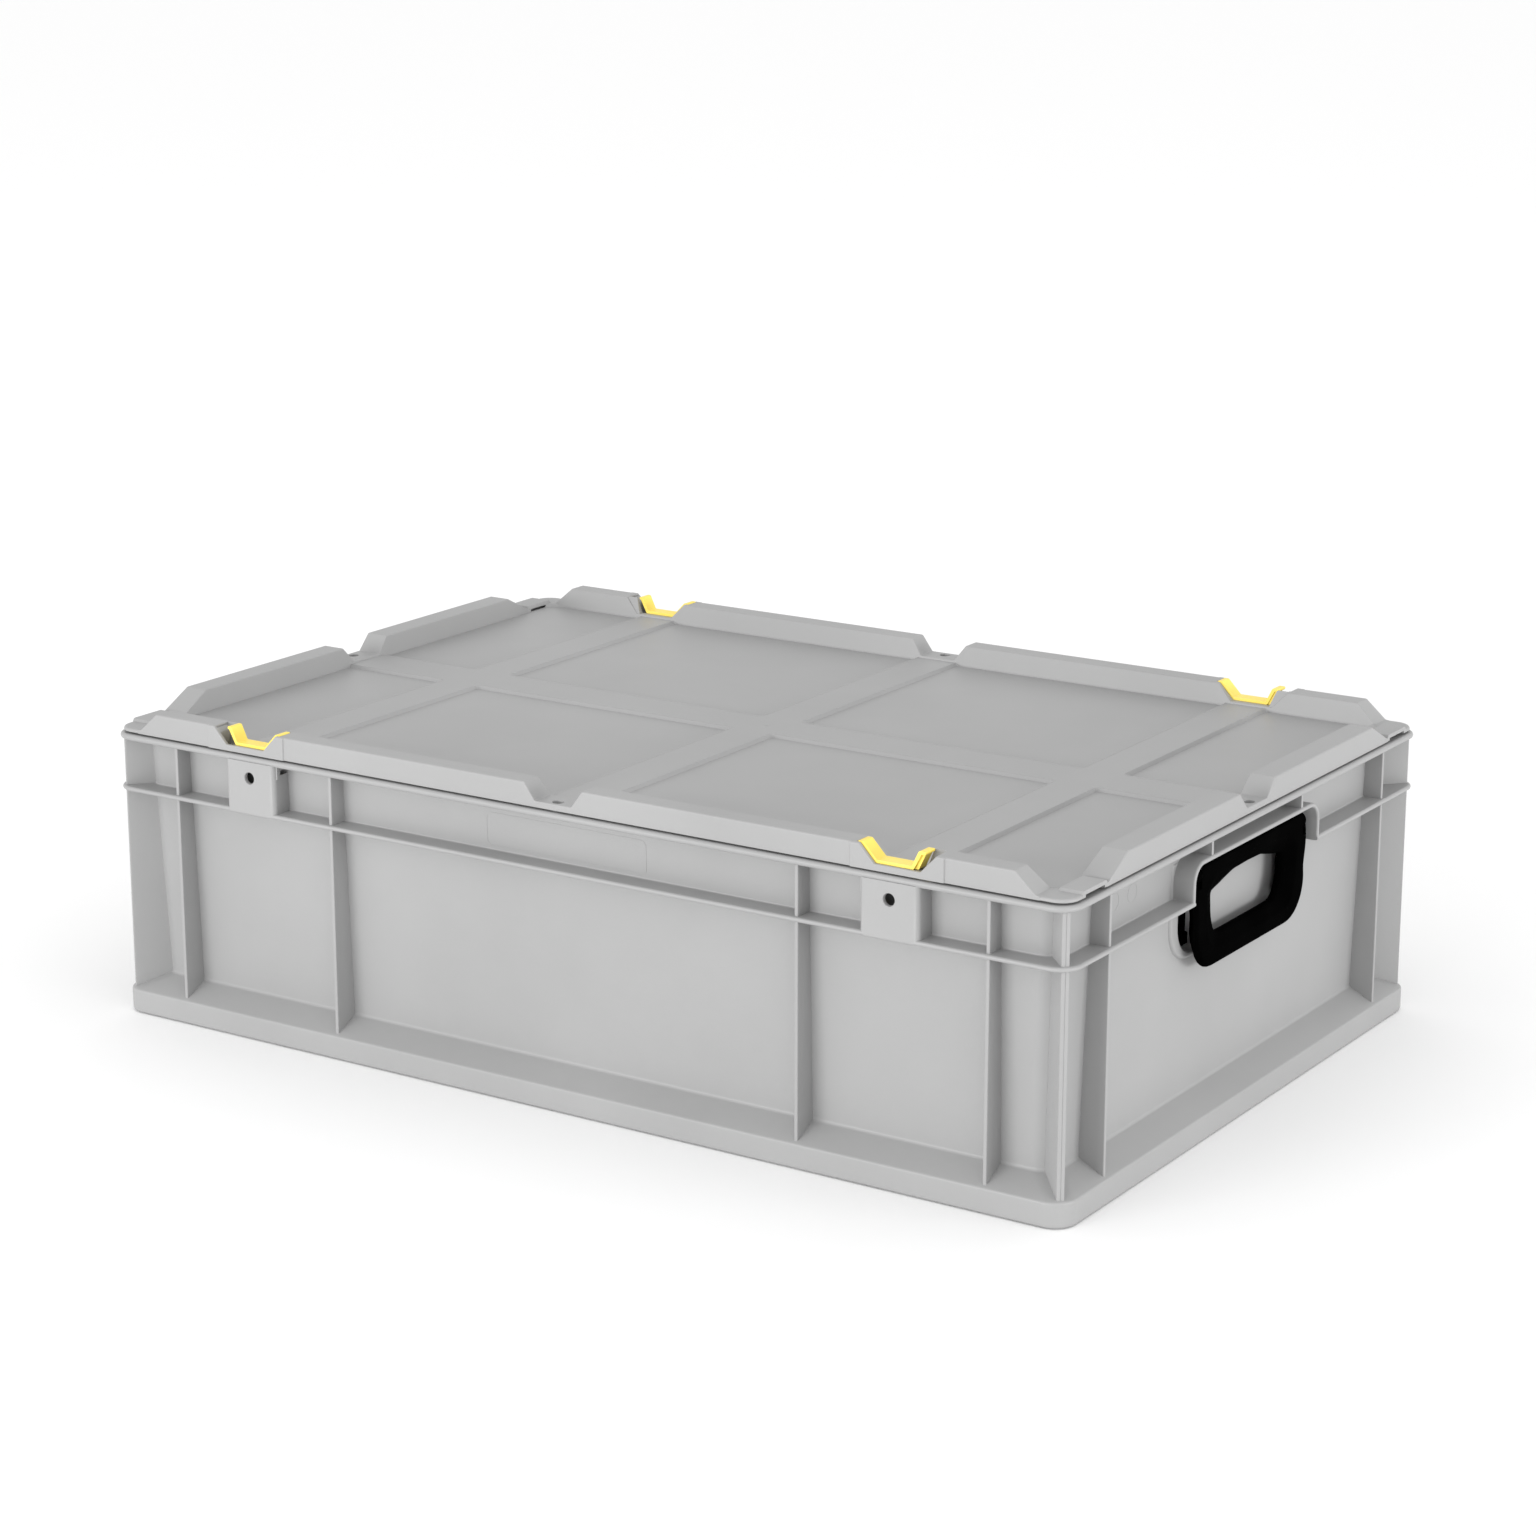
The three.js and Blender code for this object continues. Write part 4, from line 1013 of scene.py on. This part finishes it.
def build_tray():
    """The tray with its guides and finger slots, and its dividers."""
    (x0, _, z0), (x1, half_y, top) = span("tray_body")
    half_x, shift = (x1 - x0) / 2, (x0 + x1) / 2

    def row(inset, z, radius=12.0):
        return ring(inset, z, half_x, half_y, radius, shift)

    lip_low = top - 2.4
    profile = [(11.5, z0), (9.8, z0 + 0.3), (9.0, z0 + 1.6)]
    profile += rounded([(9.0, z0 + 2), (6.2, lip_low), (0.9, lip_low)], [0, 0.8, 0], 3, closed=False)[1:]
    profile += arc((1.2, top - 1.2), 1.2, 270, 90, 6)
    inside = [(2, top), (8.0, top), (11.0, z0 + 2), (40, z0 + 2)]
    profile += rounded(inside, [0, 0.9, 3.0, 0], 5, closed=False)[1:-1]
    body = loft([row(inset, z) for inset, z in profile])
    parts = []
    for side in SIGNS:
        near, far = side * GUIDE_ROOM, side * (GUIDE_ROOM + 1.6)
        for end, inward in ((x0 + 8, 1), (x1 - 8, -1)):
            parts.append(block((end - inward, near, z0 + 1), (end + inward * 6.5, far, 126), 0.3))
        for divider in DIVIDERS[1:]:
            (d0, _, _), (d1, _, _) = span(divider)
            x, y = (d0 + d1) / 2, 8 - half_y
            parts.append(block((x + near, y - 1, z0 + 1), (x + far, y + 6.5, 142), 0.3))
    body = join(body, *parts)
    finger = box_outline(-40, 128, 40, 142, 6, 5)
    body = cut(body, prism("x", finger, x0 - 2, x0 + 12), prism("x", finger, x1 - 12, x1 + 2))
    finish_piece(body, "tray_shell", "tray", TRAY, "tray", "tray_body")
    for name in DIVIDERS:
        (a0, b0, c0), (a1, b1, c1) = span(name)
        corners = [1, 1, 5, 5]
        if a1 - a0 > b1 - b0:
            plate = prism("y", box_outline(a0, c0, a1, c1, corners, 5), b0, b1, 0.5)
        else:
            plate = prism("x", box_outline(b0, c0, b1, c1, corners, 5), a0, a1, 0.5)
        finish_piece(plate, name + "_plate", "tray", TRAY, "tray", name)


finish_piece(build_box(), "box_shell", "box", SHELL, "shell", "box_body")
finish_piece(build_lid(), "lid_shell", "lid", SHELL, "shell", "lid")
for corner in CORNERS:
    build_latch(*corner)
for end in SIGNS:
    build_grip(end)
    build_mount(end)
build_hardware()
build_tray()

# ------------------------------------------------------------------ studio

FLOOR_REACH = 14.0
FLOOR_DROP = 0.0004
FLOOR_TONE = 0.98
# name, place, size, power; every light faces the middle of the case
LIGHTS = (
    ("key_front", (-0.9, -4.2, 0.8), (3.0, 0.9), 108),
    ("fill_right", (4.2, 0.4, 0.5), (2.4, 0.8), 80),
)
LIGHT_AIM = (0, 0, 0.1)
# the camera that was fitted to the photograph
EYE = (1.0723, -1.6349, 0.6683)
YAW, PITCH = 33.239, 15.137
LENS, SENSOR = 85.935, 36


def build_studio():
    """A pale floor, soft light and the camera."""
    stage = bpy.data.meshes.new("floor")
    reach = FLOOR_REACH
    stage.from_pydata([(-reach, -reach, 0), (reach, -reach, 0), (reach, reach, 0), (-reach, reach, 0)], [],
                      [(0, 1, 2, 3)])
    floor = bpy.data.objects.new("floor", stage)
    bpy.context.scene.collection.objects.link(floor)
    floor.location.z = -FLOOR_DROP
    made, _, shader = new_material("studio_floor")
    shader.inputs["Base Color"].default_value = (FLOOR_TONE, FLOOR_TONE, FLOOR_TONE, 1)
    shader.inputs["Roughness"].default_value = 0.9
    shader.inputs["Specular IOR Level"].default_value = 0.1
    stage.materials.append(made)

    world = bpy.data.worlds.new("studio")
    bpy.context.scene.world = world
    world.use_nodes = True
    back = world.node_tree.nodes["Background"]
    back.inputs["Color"].default_value = (1, 1, 1, 1)
    back.inputs["Strength"].default_value = 1.0

    for name, place, size, power in LIGHTS:
        light = bpy.data.lights.new(name, "AREA")
        light.shape = "RECTANGLE"
        light.size, light.size_y = size
        light.energy = power
        made = bpy.data.objects.new(name, light)
        made.location = place
        made.rotation_euler = (Vector(LIGHT_AIM) - Vector(place)).to_track_quat("-Z", "Y").to_euler()
        bpy.context.scene.collection.objects.link(made)

    scene = bpy.context.scene
    scene.view_settings.view_transform = "Standard"
    scene.view_settings.look = "None"
    camera = bpy.data.cameras.new("camera")
    camera.sensor_width = SENSOR
    camera.lens = LENS
    eye = bpy.data.objects.new("camera", camera)
    eye.location = EYE
    yaw, pitch = math.radians(YAW), math.radians(PITCH)
    sight = Vector((-math.sin(yaw) * math.cos(pitch), math.cos(yaw) * math.cos(pitch), -math.sin(pitch)))
    eye.rotation_euler = sight.to_track_quat("-Z", "Y").to_euler()
    scene.collection.objects.link(eye)
    scene.camera = eye


build_studio()
